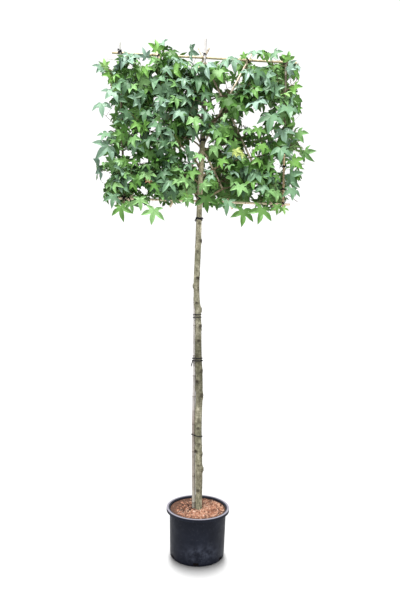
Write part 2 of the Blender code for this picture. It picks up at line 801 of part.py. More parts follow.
# Leaves that could grow from a twig's stations: in their space, out of the sky gaps, off limbs
def leaf_candidates(root, tip, space, trees, rng):
    way = (tip - root).normalized()
    side = way.orthogonal().normalized()
    count = max(2, round((tip - root).length / LEAF_SPACING))
    found = []
    for index in range(count):
        foot = root.lerp(tip, (index + STALK_ALONG_TWIG) / count)
        for attempt in range(LEAF_TRIES):
            stray = rng.uniform(-STALK_STRAY, STALK_STRAY)
            azimuth = math.radians(GOLDEN_ANGLE * (index + attempt) + stray)
            outward = Matrix.Rotation(azimuth, 3, way) @ side
            stalk = (way * STALK_ALONG_TWIG + outward).normalized()
            base = foot + stalk * rng.uniform(*STALK_LENGTHS)
            tip_way, normal = blade_ways(stalk, base, space, rng)
            shape = (foot, base, tip_way, normal, rng.uniform(*LEAF_SIZES))
            leaf = closed_bmesh(add_leaf, *shape)
            if in_space(leaf, space) and not in_sky_gap(leaf) and not hits(leaf, trees):
                found.append(shape)
            leaf.free()
    return found


def middle_of(shape):
    foot, base, tip_way, normal, size = shape
    middle = base + tip_way * size * BLADE_MIDDLE
    return Vector((middle.x, middle.y * LEAF_DEPTH_WEIGHT, middle.z))


# Leaves are taken one by one, each as far as can be from those taken before
def spread_leaves(candidates, wanted, own, loose):
    nearest = [1.0] * len(candidates)
    grown = 0
    while grown < wanted and max(nearest, default=0) > 0:
        best = max(range(len(candidates)), key=nearest.__getitem__)
        shape = candidates[best]
        nearest[best] = 0
        foot, base, tip_way, normal, size = shape
        clear_foot = foot + (base - foot).normalized() * STALK_CLEAR
        upper = closed_bmesh(add_leaf, clear_foot, base, tip_way, normal, size)
        if not hits(upper, own):
            leaf = closed_bmesh(add_leaf, *shape)
            own.append(BVHTree.FromBMesh(leaf))
            object_from_bmesh(leaf, "leaf", loose)
            grown += 1
            here = middle_of(shape)
            for index, other in enumerate(candidates):
                nearest[index] = min(nearest[index], (middle_of(other) - here).length)
        upper.free()
    return grown


# One union of the stem with all that grows on it; scraps and sealed hollows are dropped
def join_loose(stem, loose):
    union = stem.modifiers.new("fuse", "BOOLEAN")
    union.operation = "UNION"
    union.operand_type = "COLLECTION"
    union.collection = loose
    union.solver = "MANIFOLD"
    bpy.context.view_layer.update()
    evaluated = stem.evaluated_get(bpy.context.evaluated_depsgraph_get())
    mesh = bpy.data.meshes.new_from_object(evaluated)
    stem.modifiers.clear()
    look = stem.data.materials[0]
    mesh.materials.clear()
    mesh.materials.append(look)
    stem.data = mesh
    for obj in list(loose.objects):
        bpy.data.objects.remove(obj, do_unlink=True)
    keep_largest(stem)


def keep_largest(obj):
    bm = bmesh.new()
    bm.from_mesh(obj.data)
    bmesh.ops.triangulate(bm, faces=bm.faces)
    waiting = set(bm.faces)
    shells = []
    while waiting:
        front = [waiting.pop()]
        shell = list(front)
        while front:
            face = front.pop()
            for edge in face.edges:
                for near in edge.link_faces:
                    if near in waiting:
                        waiting.remove(near)
                        front.append(near)
                        shell.append(near)
        shells.append(shell)
    shells.sort(key=len)
    for shell in shells[:-1]:
        bmesh.ops.delete(bm, geom=shell, context="FACES")
    bm.to_mesh(obj.data)
    bm.free()


def make_looks():
    return {
        "pot": material("black_plastic", (0.016, 0.016, 0.018), 0.50),
        "soil": material("bark", (0.115, 0.052, 0.028), 0.90),
        "wood": material("sweetgum_bark", (0.175, 0.150, 0.105), 0.85),
        "cane": material("bamboo", (0.480, 0.330, 0.190), 0.60),
        "old_cane": material("grey_bamboo", (0.430, 0.400, 0.340), 0.70),
        "tie": material("black_rubber", (0.020, 0.020, 0.020), 0.60),
        "foliage": material("sweetgum_leaves", (0.045, 0.140, 0.040), 0.55),
    }


def main():
    clear_scene()
    parts = new_collection("pleached_sweetgum")
    cutters = new_collection("cutters")
    loose = new_collection("loose")
    looks = make_looks()
    make_pot(parts, cutters, looks["pot"])
    make_soil(parts, looks["soil"])
    make_trunk(parts, looks["wood"])
    tubes = [(*trunk_rings(), False)]
    canes = cane_list()
    for name, (points, radii) in canes.items():
        look = looks["old_cane"] if name == "cane_spine" else looks["cane"]
        tube(name, points, radii, CANE_SIDES, parts, look)
        tubes.append((points, radii, False))
    for name, points in tie_list(canes):
        tube(name, points, [TIE_RADIUS] * len(points), TIE_SIDES, parts, looks["tie"], closed=True)
        tubes.append((points, [TIE_RADIUS] * len(points), True))
    trunk_cutter = make_trunk_cutter(cutters)
    masses = []
    for row_index, row in enumerate(ROWS):
        for index, column in enumerate(COLUMNS):
            side = -1 if index < 2 else 1
            outer = index in (0, 3)
            root_height = row["bough_roots"][index]
            inner_edge = row["edges"][1] if side < 0 else row["edges"][3]
            reach = inner_edge if outer else trunk_at(root_height)[0].x + side * SHORT_BOUGH_REACH
            points = bough_path(side, root_height, row["rises"][index], reach)
            radii = LONG_BOUGH_RADII if outer else SHORT_BOUGH_RADII
            name = f"{column}_{row['name']}"
            make_bough(f"bough_{name}", points, radii, trunk_cutter, parts, looks["wood"])
            sizes = [between(radii, i / (len(points) - 1)) for i in range(len(points))]
            tubes.append((points, sizes, False))
            masses.append((name, make_space(row_index, index), points, side, outer))
    trees = limb_trees(tubes)
    total = 0
    for index, (name, space, points, side, outer) in enumerate(masses):
        heading = (points[-1] - points[-2]).normalized()
        start = points[-1] + heading * GAP
        far_wall = space["left"][0] if side < 0 else space["right"][0]
        middle_height = (space["floor"][0] + space["top"][0]) / 2
        goal = Vector((far_wall - side * STEM_END, STEM_END_DEPTH, middle_height))
        if not outer:
            goal.z = start.z + SHORT_STEM_RISE
        rng = random.Random(SEED + index)
        total += grow_mass(
            f"foliage_{name}", space, start, heading, goal, trees, rng, loose, parts, looks["foliage"],
        )
    bpy.data.collections.remove(loose)
    print("leaves in all:", total)


main()
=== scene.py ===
import json
import math
import random

import bpy
import numpy as np
from mathutils import Matrix, Vector
from mathutils.bvhtree import BVHTree
from mathutils.geometry import convex_hull_2d
from mathutils.kdtree import KDTree

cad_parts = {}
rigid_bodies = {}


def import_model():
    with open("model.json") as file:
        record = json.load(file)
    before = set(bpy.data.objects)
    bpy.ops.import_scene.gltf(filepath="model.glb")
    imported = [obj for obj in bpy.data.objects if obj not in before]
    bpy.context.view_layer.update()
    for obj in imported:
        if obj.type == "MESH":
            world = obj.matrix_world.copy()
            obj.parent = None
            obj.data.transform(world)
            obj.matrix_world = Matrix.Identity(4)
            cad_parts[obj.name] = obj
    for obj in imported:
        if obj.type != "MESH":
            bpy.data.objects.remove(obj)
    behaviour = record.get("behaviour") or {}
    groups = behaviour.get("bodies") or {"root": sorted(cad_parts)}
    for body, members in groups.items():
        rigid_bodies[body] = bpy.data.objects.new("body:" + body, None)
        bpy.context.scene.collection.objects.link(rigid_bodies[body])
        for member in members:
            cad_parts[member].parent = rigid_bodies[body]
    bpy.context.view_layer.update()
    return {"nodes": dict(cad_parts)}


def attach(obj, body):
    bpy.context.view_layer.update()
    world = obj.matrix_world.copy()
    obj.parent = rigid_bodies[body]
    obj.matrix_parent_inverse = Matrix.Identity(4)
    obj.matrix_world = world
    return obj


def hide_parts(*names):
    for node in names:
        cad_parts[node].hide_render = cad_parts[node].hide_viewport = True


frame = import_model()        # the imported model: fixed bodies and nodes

# A pleached sweetgum in a black nursery pot: bark, boughs, leaves, bamboo frame and ties.
# Metres, +X right along the flat crown, -Y to the front, the origin under the pot.

gap = 0.0003                 # air between solids that lie against each other
soilLevel = 0.283
print("loaded", len(frame["nodes"]), "solids")


# small helpers

def mix(ends, share):
    return ends[0] + (ends[1] - ends[0]) * share


def spaced(start, end, count):
    return [start + (end - start) * i / (count - 1) for i in range(count)]


def lengthOf(points):
    return sum((b - a).length for a, b in zip(points, points[1:]))


# a soft bend from start over middle to end, at shares of the way
def softBend(start, middle, end, shares):
    return [start * (1 - t) ** 2 + middle * 2 * t * (1 - t) + end * t * t for t in shares]


# a limb's middles and radii at evenly spaced heights
def ringsUp(stations, at, count):
    rings = [at(height) for height in spaced(stations[0][0], stations[-1][0], count)]
    return [centre for centre, radius in rings], [radius for centre, radius in rings]


# values at a height, eased through the stations on both sides
def readStations(stations, height):
    last = len(stations) - 1
    height = min(max(height, stations[0][0]), stations[last][0])
    index = max(i for i in range(last) if stations[i][0] <= height)
    before, start = stations[max(index - 1, 0)], stations[index]
    end, after = stations[index + 1], stations[min(index + 2, last)]
    span = end[0] - start[0]
    t = (height - start[0]) / span
    values = []
    for column in range(1, len(start)):
        slopeIn = (end[column] - before[column]) / (end[0] - before[0]) * span
        slopeOut = (after[column] - start[column]) / (after[0] - start[0]) * span
        rise = start[column] - end[column]
        values.append(start[column] + t * slopeIn
                      + t * t * (-3 * rise - 2 * slopeIn - slopeOut)
                      + t * t * t * (2 * rise + slopeIn + slopeOut))
    return values


def deselectAll():
    if bpy.context.object and bpy.context.object.mode != "OBJECT":
        bpy.ops.object.mode_set(mode="OBJECT")
    bpy.ops.object.select_all(action="DESELECT")


def selectOnly(piece):
    deselectAll()
    piece.select_set(True)
    bpy.context.view_layer.objects.active = piece


def applyAll(piece):
    selectOnly(piece)
    for modifier in list(piece.modifiers):
        bpy.ops.object.modifier_apply(modifier=modifier.name)


# a limb grown by hand: a circle, extruded ring by ring along its way, resized and turned
def growLimb(name, points, radii, sides, turning=False):
    deselectAll()
    heading = (points[1] - points[0]).normalized()
    bpy.ops.mesh.primitive_circle_add(
        vertices=sides, radius=radii[0], fill_type="NGON", location=points[0],
        rotation=heading.to_track_quat("Z", "X").to_euler())
    limb = bpy.context.object
    limb.name = limb.data.name = name
    bpy.ops.object.transform_apply(location=True, rotation=True, scale=True)
    bpy.ops.object.mode_set(mode="EDIT")
    bpy.ops.mesh.select_all(action="SELECT")
    for index in range(1, len(points)):
        step = points[index] - points[index - 1]
        bpy.ops.mesh.extrude_region_move(TRANSFORM_OT_translate={"value": step})
        size = radii[index] / radii[index - 1]
        bpy.ops.transform.resize(value=(size, size, size), center_override=points[index])
        if turning and index < len(points) - 1:
            after = (points[index + 1] - points[index - 1]).normalized()
            angle = math.atan2(heading.z, heading.x) - math.atan2(after.z, after.x)
            bpy.ops.transform.rotate(
                value=-angle, orient_axis="Y", orient_type="GLOBAL", center_override=points[index])
            heading = after
    bpy.ops.mesh.select_all(action="SELECT")
    bpy.ops.mesh.normals_make_consistent(inside=False)
    bpy.ops.object.mode_set(mode="OBJECT")
    return limb


# many small pieces as one mesh: points and faces gathered in lists, each with its look
class Gathered:
    def __init__(self):
        self.points, self.faces, self.looks = [], [], []
        self.count = 0

    def add(self, points, faces, look=0):
        self.points.append(np.asarray(points, dtype=float))
        self.faces += [tuple(corner + self.count for corner in face) for face in faces]
        self.looks += [look] * len(faces)
        self.count += len(points)

    def build(self, name, looks, smooth=True):
        mesh = bpy.data.meshes.new(name)
        mesh.from_pydata(np.concatenate(self.points).tolist(), [], self.faces)
        for look in looks:
            mesh.materials.append(look)
        mesh.polygons.foreach_set("material_index", self.looks)
        if smooth:
            mesh.shade_smooth()
        else:
            mesh.shade_flat()
        mesh.update()
        piece = bpy.data.objects.new(name, mesh)
        bpy.context.scene.collection.objects.link(piece)
        return piece


# a thin round run through points, for twigs, stalks and ties
def addRun(gathered, points, radii, sides, look=0, closed=False):
    rings = []
    count = len(points)
    side = None
    for index, point in enumerate(points):
        after = points[(index + 1) % count] if closed or index < count - 1 else point
        before = points[index - 1] if closed or index > 0 else point
        way = (after - before).normalized()
        if side is None:
            side = way.orthogonal().normalized()
        side = (side - way * side.dot(way)).normalized()
        up = way.cross(side)
        for corner in range(sides):
            angle = math.tau * corner / sides
            rings.append(point + (side * math.cos(angle) + up * math.sin(angle)) * radii[index])
    faces = []
    for index in range(count if closed else count - 1):
        here, there = index * sides, ((index + 1) % count) * sides
        for corner in range(sides):
            turn = (corner + 1) % sides
            faces.append((here + corner, here + turn, there + turn, there + corner))
    if not closed:
        faces.append(tuple(reversed(range(sides))))
        faces.append(tuple((count - 1) * sides + corner for corner in range(sides)))
    gathered.add([tuple(point) for point in rings], faces, look)


# materials

def newLook(name, color, roughness, specular):
    look = bpy.data.materials.new(name)
    look.use_nodes = True
    shader = look.node_tree.nodes["Principled BSDF"]
    shader.inputs["Base Color"].default_value = (*color, 1)
    shader.inputs["Roughness"].default_value = roughness
    shader.inputs["Specular IOR Level"].default_value = specular
    return look


def addNode(look, kind, values=None, **wires):
    node = look.node_tree.nodes.new(kind)
    for key, value in (values or {}).items():
        if key in node.inputs:
            node.inputs[key].default_value = value
        else:
            setattr(node, key, value)
    for key, source in wires.items():
        look.node_tree.links.new(source, node.inputs[key])
    return node


def wire(look, source, socket):
    look.node_tree.links.new(source, look.node_tree.nodes["Principled BSDF"].inputs[socket])


# where a pattern sits: object coordinates stretched by a size on each axis
def placePattern(look, stretch=(1, 1, 1), middle=(0, 0, 0)):
    where = addNode(look, "ShaderNodeTexCoord")
    spread = addNode(look, "ShaderNodeMapping", {"vector_type": "POINT"}, Vector=where.outputs["Object"])
    spread.inputs["Scale"].default_value = stretch
    spread.inputs["Location"].default_value = [-m * s for m, s in zip(middle, stretch)]
    return spread.outputs["Vector"]


def noise(look, place, scale, detail=4, rough=0.6):
    made = addNode(look, "ShaderNodeTexNoise", {"Scale": scale, "Detail": detail, "Roughness": rough},
                   Vector=place)
    return made.outputs["Fac"]


def ramp(look, source, stops):
    made = addNode(look, "ShaderNodeValToRGB", Fac=source)
    bar = made.color_ramp
    for index, (position, color) in enumerate(stops):
        stop = bar.elements[index] if index < 2 else bar.elements.new(position)
        stop.position = position
        stop.color = (*color, 1) if len(color) == 3 else color
    return made.outputs["Color"]


def blend(look, share, under, over, kind="MIX"):
    made = addNode(look, "ShaderNodeMix", {"data_type": "RGBA", "blend_type": kind})
    tree = look.node_tree
    for socket, value in (("Factor_Float", share), ("A_Color", under), ("B_Color", over)):
        target = next(s for s in made.inputs if s.identifier == socket)
        if isinstance(value, (tuple, float, int)):
            target.default_value = value
        else:
            tree.links.new(value, target)
    return next(s for s in made.outputs if s.identifier == "Result_Color")


def multiply(look, a, b, clamp=False):
    made = addNode(look, "ShaderNodeMath", {"operation": "MULTIPLY", "use_clamp": clamp})
    for index, value in enumerate((a, b)):
        if isinstance(value, (float, int)):
            made.inputs[index].default_value = value
        else:
            look.node_tree.links.new(value, made.inputs[index])
    return made.outputs[0]


# the height on the object, as a share of 3.2 m
def heightShare(look):
    place = placePattern(look, (1, 1, 1 / 3.2))
    return addNode(look, "ShaderNodeSeparateXYZ", Vector=place).outputs["Z"]


# a number kept with the points: 1 at a scar, a cane's joint or the painted highlight on the pot's lip
def readMark(look, name):
    return addNode(look, "ShaderNodeAttribute", {"attribute_name": name}).outputs["Fac"]


def bump(look, height, strength, distance):
    made = addNode(look, "ShaderNodeBump", {"Strength": strength, "Distance": distance}, Height=height)
    wire(look, made.outputs["Normal"], "Normal")


# camera, light and floor

view = {
    "film": 36,              # the frame's longer side, mm
    "lens": 27.3,
    "distance": 2.9575,      # from the panel's middle
    "height": 1.487,
    "turn": 3.5,             # degrees to the left of the panel's front
    "tilt": 1.2,             # the horizon's tilt in the picture, degrees
    "offset": 0.011,         # how far the camera stands aside of the middle
    "shift": 0.04,
    "frame": (400, 600),
    "sky": 1.13,             # strength of the white surroundings
    "floor": 0.30,           # how pale the floor is
    "floorSize": 40,
    "floorDrop": 0.0005,     # keeps the floor just under the pot
    # the floor's own lamp, far off behind: distance, height in degrees, width, depth and power
    "floorLamp": (100, 77, 12, 46, 290000),
    "lamps": (               # name, place, size, power
        ("lightAbove", (-0.9, -1.5, 5.8), 1.5, 330),
        ("lightFront", (1.6, -4.2, 3.2), 2.5, 50),
    ),
    "lampAim": (0, 0, 2.2),
}


def cameraAxes():
    turn, tilt = math.radians(view["turn"]), math.radians(view["tilt"])
    level = Vector((math.cos(turn), -math.sin(turn), 0))
    ahead = Vector((math.sin(turn), math.cos(turn), 0))
    place = -ahead * view["distance"] - level * view["offset"]
    place.z = view["height"]
    right = level * math.cos(tilt) + Vector((0, 0, math.sin(tilt)))
    up = Vector((0, 0, math.cos(tilt))) - level * math.sin(tilt)
    return right, up, ahead, place


# the place at a depth that is seen at a pixel of the picture
def seenAt(px, py, depth):
    right, up, ahead, place = cameraAxes()
    wide, tall = view["frame"]
    focus = view["lens"] / view["film"] * tall
    way = right * (px - wide / 2) + up * (tall / 2 - py + view["shift"] * tall) + ahead * focus
    return place + way * ((depth - place.y) / way.y)


def makeCamera():
    right, up, ahead, place = cameraAxes()
    camera = bpy.data.cameras.new("camera")
    camera.sensor_fit = "AUTO"
    camera.sensor_width = view["film"]
    camera.lens = view["lens"]
    camera.shift_y = view["shift"]
    holder = bpy.data.objects.new("camera", camera)
    holder.matrix_world = Matrix((
        (right.x, up.x, -ahead.x, place.x), (right.y, up.y, -ahead.y, place.y),
        (right.z, up.z, -ahead.z, place.z), (0, 0, 0, 1)))
    bpy.context.scene.collection.objects.link(holder)
    bpy.context.scene.camera = holder


# an area lamp that lights only what its collection says
def addLamp(name, size, power, place, turn, lit):
    lamp = bpy.data.lights.new(name, "AREA")
    lamp.size = size
    lamp.energy = power
    holder = bpy.data.objects.new(name, lamp)
    holder.location = place
    holder.rotation_euler = turn
    holder.light_linking.receiver_collection = lit
    bpy.context.scene.collection.objects.link(holder)
    return holder


def makeFloor():
    deselectAll()
    bpy.ops.mesh.primitive_plane_add(size=view["floorSize"], location=(0, 0, -view["floorDrop"]))
    floor = bpy.context.object
    floor.name = "floor"
    floor.data.materials.append(newLook("paleFloor", (view["floor"],) * 3, 0.9, 0.1))
    return floor


def makeStage():
    makeCamera()
    world = bpy.data.worlds.new("studio")
    world.use_nodes = True
    world.node_tree.nodes["Background"].inputs["Color"].default_value = (1, 1, 1, 1)
    world.node_tree.nodes["Background"].inputs["Strength"].default_value = view["sky"]
    bpy.context.scene.world = world
    bpy.context.scene.view_settings.view_transform = "Standard"
    floorApart = bpy.data.collections.new("floorApart")
    for name, where, size, power in view["lamps"]:
        aim = Vector(view["lampAim"]) - Vector(where)
        addLamp(name, size, power, where, aim.to_track_quat("-Z", "Y").to_euler(), floorApart)
    floor = makeFloor()
    # the floor has a lamp of its own, so that the pot's shade on it stays close
    floorApart.objects.link(floor)
    floorApart.collection_objects[0].light_linking.link_state = "EXCLUDE"
    floorAlone = bpy.data.collections.new("floorAlone")
    floorAlone.objects.link(floor)
    far, rise, wide, deep, power = view["floorLamp"]
    rise = math.radians(rise)
    place = (0, far * math.cos(rise), far * math.sin(rise))
    lamp = addLamp("lightFloor", wide, power, place, (rise - math.pi / 2, 0, 0), floorAlone)
    lamp.data.shape = "RECTANGLE"
    lamp.data.size_y = deep
    # only what fills the pot shades it, so the shade lies before the pot's foot and not beside it
    lamp.light_linking.blocker_collection = bpy.data.collections.new("floorShade")
    lamp.light_linking.blocker_collection.objects.link(frame["nodes"]["bark_mulch"])


makeStage()
print("camera, light and floor set")


# trunk and boughs

trunk = {
    "stations": (               # height, sideways place, radius
        (soilLevel - 0.012, 0.0055, 0.0250),
        (soilLevel + gap, 0.0055, 0.0232),
        (0.300, 0.0052, 0.0222),
        (0.345, 0.0046, 0.0216),
        (0.400, 0.0042, 0.0222),
        (0.480, 0.0026, 0.0246),
        (0.575, -0.0006, 0.0243),
        (0.670, -0.0030, 0.0232),
        (0.795, -0.0086, 0.0240),
        (0.912, -0.0080, 0.0234),
        (1.030, -0.0064, 0.0235),
        (1.146, -0.0098, 0.0237),
        (1.300, -0.0178, 0.0222),
        (1.480, -0.0222, 0.0204),
        (1.575, -0.0268, 0.0190),
        (1.680, -0.0362, 0.0186),
        (1.770, -0.0392, 0.0196),
        (1.887, -0.0360, 0.0196),
        (2.000, -0.0330, 0.0190),
        (2.100, -0.0320, 0.0180),
        (2.300, -0.0300, 0.0182),
        (2.580, -0.0210, 0.0160),
        (2.830, -0.0100, 0.0115),
        (3.190, -0.0180, 0.0050),
    ),
    "rings": 230,
    "sides": 16,
    # old branch scars, as picture points on the bark, with size and darkness
    "scars": (
        (200.7, 240.8, 1.35, 0.9), (197.5, 251.0, 0.8, 0.7), (197.8, 278.0, 1.1, 1.0),
        (193.6, 286.0, 1.3, 0.5), (196.6, 302.6, 0.8, 0.9), (200.9, 309.6, 1.6, 0.3),
        (200.4, 325.8, 1.3, 0.8), (198.6, 340.5, 1.0, 0.9), (197.6, 354.0, 0.8, 0.3),
        (201.1, 370.7, 1.4, 0.6), (197.3, 381.2, 1.15, 1.0), (201.5, 395.3, 1.5, 0.7),
        (197.9, 428.0, 0.9, 0.8), (199.0, 444.0, 0.8, 0.7), (196.0, 451.0, 1.2, 1.0),
        (201.3, 454.7, 1.1, 0.5), (198.7, 465.0, 0.8, 0.5), (203.0, 469.6, 1.5, 0.5),
        (197.9, 490.0, 1.1, 0.8), (199.4, 223.5, 1.1, 0.6),
    ),
    "scarDepth": -0.018,        # where a picture point meets the bark
    "scarEdge": 0.97,           # how far round to the side a seen scar may sit
    "hiddenScars": 26,          # more of them round the back
    "hiddenHeights": (0.36, 2.35), "hiddenAngles": (0.05, 0.95),
    "hiddenSizes": (0.6, 1.3), "hiddenDarkness": (0.4, 1),
    "scarSize": 0.0132,
    "scarWidth": 1.3,           # a scar is this much wider than tall
    "scarSwell": 0.0078,
    "swellSpread": 0.8, "dentShare": 0.45, "dentSpread": 6,
    "grain": (0.010, 0.0016),   # size and height of the bark's grain
}


def trunkAt(height):
    sideways, radius = readStations(trunk["stations"], height)
    return Vector((sideways, 0, height)), radius


# where the scars sit on the bark, with size and darkness
def scarPlaces(rng):
    places = []
    for px, py, size, dark in trunk["scars"]:
        where = seenAt(px, py, trunk["scarDepth"])
        centre, radius = trunkAt(where.z)
        edge = trunk["scarEdge"]
        across = max(-edge, min(edge, (where.x - centre.x) / radius))
        out = Vector((across, -math.sqrt(1 - across * across), 0))
        places.append((centre + out * radius, size, dark))
    for index in range(trunk["hiddenScars"]):
        height = rng.uniform(*trunk["hiddenHeights"])
        centre, radius = trunkAt(height)
        angle = rng.uniform(*trunk["hiddenAngles"]) * math.pi
        out = Vector((math.cos(angle), math.sin(angle), 0))
        size, dark = rng.uniform(*trunk["hiddenSizes"]), rng.uniform(*trunk["hiddenDarkness"])
        places.append((centre + out * radius, size, dark))
    return places


def roundOff(limb):
    rounding = limb.modifiers.new("round", "SUBSURF")
    rounding.levels = rounding.render_levels = 2


def roughenBark(limb, grain, name):
    size, strength = grain
    texture = bpy.data.textures.new(name, "CLOUDS")
    texture.noise_scale = size
    texture.noise_depth = 3
    rough = limb.modifiers.new("rough", "DISPLACE")
    rough.texture = texture
    rough.texture_coords = "LOCAL"
    rough.strength = strength
    rough.mid_level = 0.5


# a number for each point, which a material reads
def markPoints(limb, name, values):
    mark = limb.data.attributes.new(name, "FLOAT", "POINT")
    mark.data.foreach_set("value", np.asarray(values, dtype=np.float32))


def pointsOf(limb):
    places = np.empty(len(limb.data.vertices) * 3)
    limb.data.vertices.foreach_get("co", places)
    return places.reshape(-1, 3)


bark = {
    "patches": ((0.30, (0.082, 0.072, 0.050)), (0.71, (0.60, 0.57, 0.46)), (0.52, (0.280, 0.265, 0.195))),
    "moss": (0.170, 0.190, 0.105, 1), "mossShare": 0.35,
    # darker between knee and waist height, palest in the lower crown, where the paleness is painted light
    # that makes up for the crown's shade on the bark
    "tall": (
        (0.10, (0.95, 0.96, 0.88)), (0.19, (1.10, 1.08, 1.02)), (0.25, (0.84, 0.83, 0.79)),
        (0.29, (0.92, 0.91, 0.85)), (0.335, (0.56, 0.55, 0.50)), (0.42, (0.53, 0.52, 0.47)),
        (0.465, (0.97, 0.96, 0.94)), (0.60, (1.0, 0.99, 0.95)), (0.655, (1.38, 1.35, 1.28)),
        (0.70, (1.75, 1.72, 1.55)), (0.80, (1.40, 1.32, 1.12)), (0.88, (0.80, 0.72, 0.66))),
    "specks": ((0.36, (0.45, 0.45, 0.45)), (0.60, (1, 1, 1))), "speckShare": 0.8,
    "bands": ((0.33, (0.62, 0.60, 0.56)), (0.5, (1, 1, 1))), "bandShare": 0.75,
    "scar": (0.022, 0.016, 0.010, 1), "scarShare": 0.97,
    "trunkShade": (1, 1, 1, 1), "boughShade": (0.62, 0.56, 0.50, 1),
}


def makeBarkLook(name, shade):
    look = newLook(name, (0.25, 0.24, 0.17), 0.85, 0.25)
    place = placePattern(look, (1, 1, 0.45))
    patches = ramp(look, noise(look, place, 38, 5, 0.68), bark["patches"])
    mossy = ramp(look, noise(look, placePattern(look, (1, 1, 0.6)), 5, 3, 0.5),
                 ((0.42, (0, 0, 0)), (0.62, (1, 1, 1))))
    color = blend(look, multiply(look, mossy, bark["mossShare"]), patches, bark["moss"])
    # the height ramp paints light onto the bark in the lower crown
    color = blend(look, 1.0, color, ramp(look, heightShare(look), bark["tall"]), "MULTIPLY")
    specks = ramp(look, noise(look, place, 190, 3, 0.6), bark["specks"])
    bands = ramp(look, noise(look, placePattern(look, (0.35, 0.35, 2.6)), 60, 2, 0.5), bark["bands"])
    color = blend(look, bark["speckShare"], color, specks, "MULTIPLY")
    color = blend(look, bark["bandShare"], color, bands, "MULTIPLY")
    scar = multiply(look, readMark(look, "scar"), bark["scarShare"], True)
    color = blend(look, 1.0, blend(look, scar, color, bark["scar"]), shade, "MULTIPLY")
    wire(look, color, "Base Color")
    bump(look, noise(look, placePattern(look, (1, 1, 0.3)), 260, 4, 0.7), 0.5, 0.0012)
    return look


def makeTrunk(look):
    rng = random.Random(7)
    centres, radii = ringsUp(trunk["stations"], trunkAt, trunk["rings"])
    limb = growLimb("trunkBark", centres, radii, trunk["sides"])
    roundOff(limb)
    applyAll(limb)
    places = pointsOf(limb)
    scar = np.zeros(len(places))
    moved = places.copy()
    for where, size, dark in scarPlaces(rng):
        away = (places - np.array(where)) * np.array((1, 1, trunk["scarWidth"]))
        far = np.linalg.norm(away, axis=1) / (trunk["scarSize"] * size)
        centre = np.array(trunkAt(where.z)[0])
        out = np.array(where) - centre
        out /= np.linalg.norm(out)
        swell = np.exp(-far * far * trunk["swellSpread"])
        swell -= trunk["dentShare"] * np.exp(-far * far * trunk["dentSpread"])
        moved += out * (trunk["scarSwell"] * size * swell)[:, None]
        scar = np.maximum(scar, dark * np.exp(-far ** 4))
    limb.data.vertices.foreach_set("co", moved.ravel())
    markPoints(limb, "scar", scar)
    roughenBark(limb, trunk["grain"], "barkGrain")
    applyAll(limb)
    limb.data.materials.append(look)
    limb.data.shade_smooth()
    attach(limb, "root")
    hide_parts("trunk")


boughs = {
    "rows": (
        {"name": "low", "edges": (-0.700, -0.310, -0.035, 0.225, 0.685),
         "floors": (2.105, 2.215, 2.185, 2.100), "top": 2.505,
         "roots": (2.300, 2.385, 2.350, 2.255), "rises": (48, 49, 45, 48)},
        {"name": "middle", "edges": (-0.690, -0.340, -0.075, 0.290, 0.690),
         "floors": (2.505, 2.505, 2.505, 2.505), "top": 2.905,
         "roots": (2.485, 2.620, 2.605, 2.435), "rises": (60, 50, 35, 40)},
        {"name": "high", "edges": (-0.705, -0.350, 0.020, 0.320, 0.670),
         "floors": (2.905, 2.905, 2.905, 2.905), "top": 3.320,
         "roots": (2.790, 2.935, 2.905, 2.745), "rises": (55, 50, 48, 50)},
    ),
    "columns": ("far_left", "left", "right", "far_right"),
    "step": 0.045,
    "tipRise": 6,
    "shortReach": 0.085,
    "longRadii": (0.0085, 0.0045),
    "shortRadii": (0.0062, 0.0040),
    "ease": 0.8,                # how soon a bough turns level
    "forward": 0.003,           # how far it bows to the front in a step
    "collar": 1.5,              # how much wider a bough is where it leaves the trunk
    "sides": 10,
    "grain": (0.008, 0.0012),
}


# each bough leaves the trunk at its rise and eases towards level
def boughPath(side, rootHeight, rise, reach):
    start = trunkAt(rootHeight)[0]
    points = [start.copy()]
    while side * (points[-1].x - reach) < 0:
        share = (points[-1].x - start.x) / (reach - start.x)
        angle = math.radians(rise + (boughs["tipRise"] - rise) * min(share, 1) ** boughs["ease"])
        step = Vector((side * math.cos(angle), 0, math.sin(angle))) * boughs["step"]
        step.y = -boughs["forward"] * math.sin(math.pi * share)
        points.append(points[-1] + step)
    return points


def boughList():
    found = []
    for rowIndex, row in enumerate(boughs["rows"]):
        for index, column in enumerate(boughs["columns"]):
            side = -1 if index < 2 else 1
            outer = index in (0, 3)
            root = row["roots"][index]
            inner = row["edges"][1] if side < 0 else row["edges"][3]
            reach = inner if outer else trunkAt(root)[0].x + side * boughs["shortReach"]
            found.append({
                "name": f"{column}_{row['name']}", "row": rowIndex, "column": index,
                "side": side, "outer": outer,
                "points": boughPath(side, root, row["rises"][index], reach),
                "radii": boughs["longRadii"] if outer else boughs["shortRadii"],
            })
    return found


def makeBoughs(found, look):
    for bough in found:
        points = bough["points"]
        sizes = [mix(bough["radii"], i / (len(points) - 1)) for i in range(len(points))]
        sizes[0] *= boughs["collar"]
        limb = growLimb("bark_" + bough["name"], points, sizes, boughs["sides"], turning=True)
        roundOff(limb)
        roughenBark(limb, boughs["grain"], "boughGrain")
        applyAll(limb)
        limb.data.materials.append(look)
        limb.data.shade_smooth()
        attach(limb, "root")
        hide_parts("bough_" + bough["name"])


makeTrunk(makeBarkLook("sweetgumBark", bark["trunkShade"]))
boughSet = boughList()
makeBoughs(boughSet, makeBarkLook("boughBark", bark["boughShade"]))
print("trunk and", len(boughSet), "boughs grown")


# bamboo frame

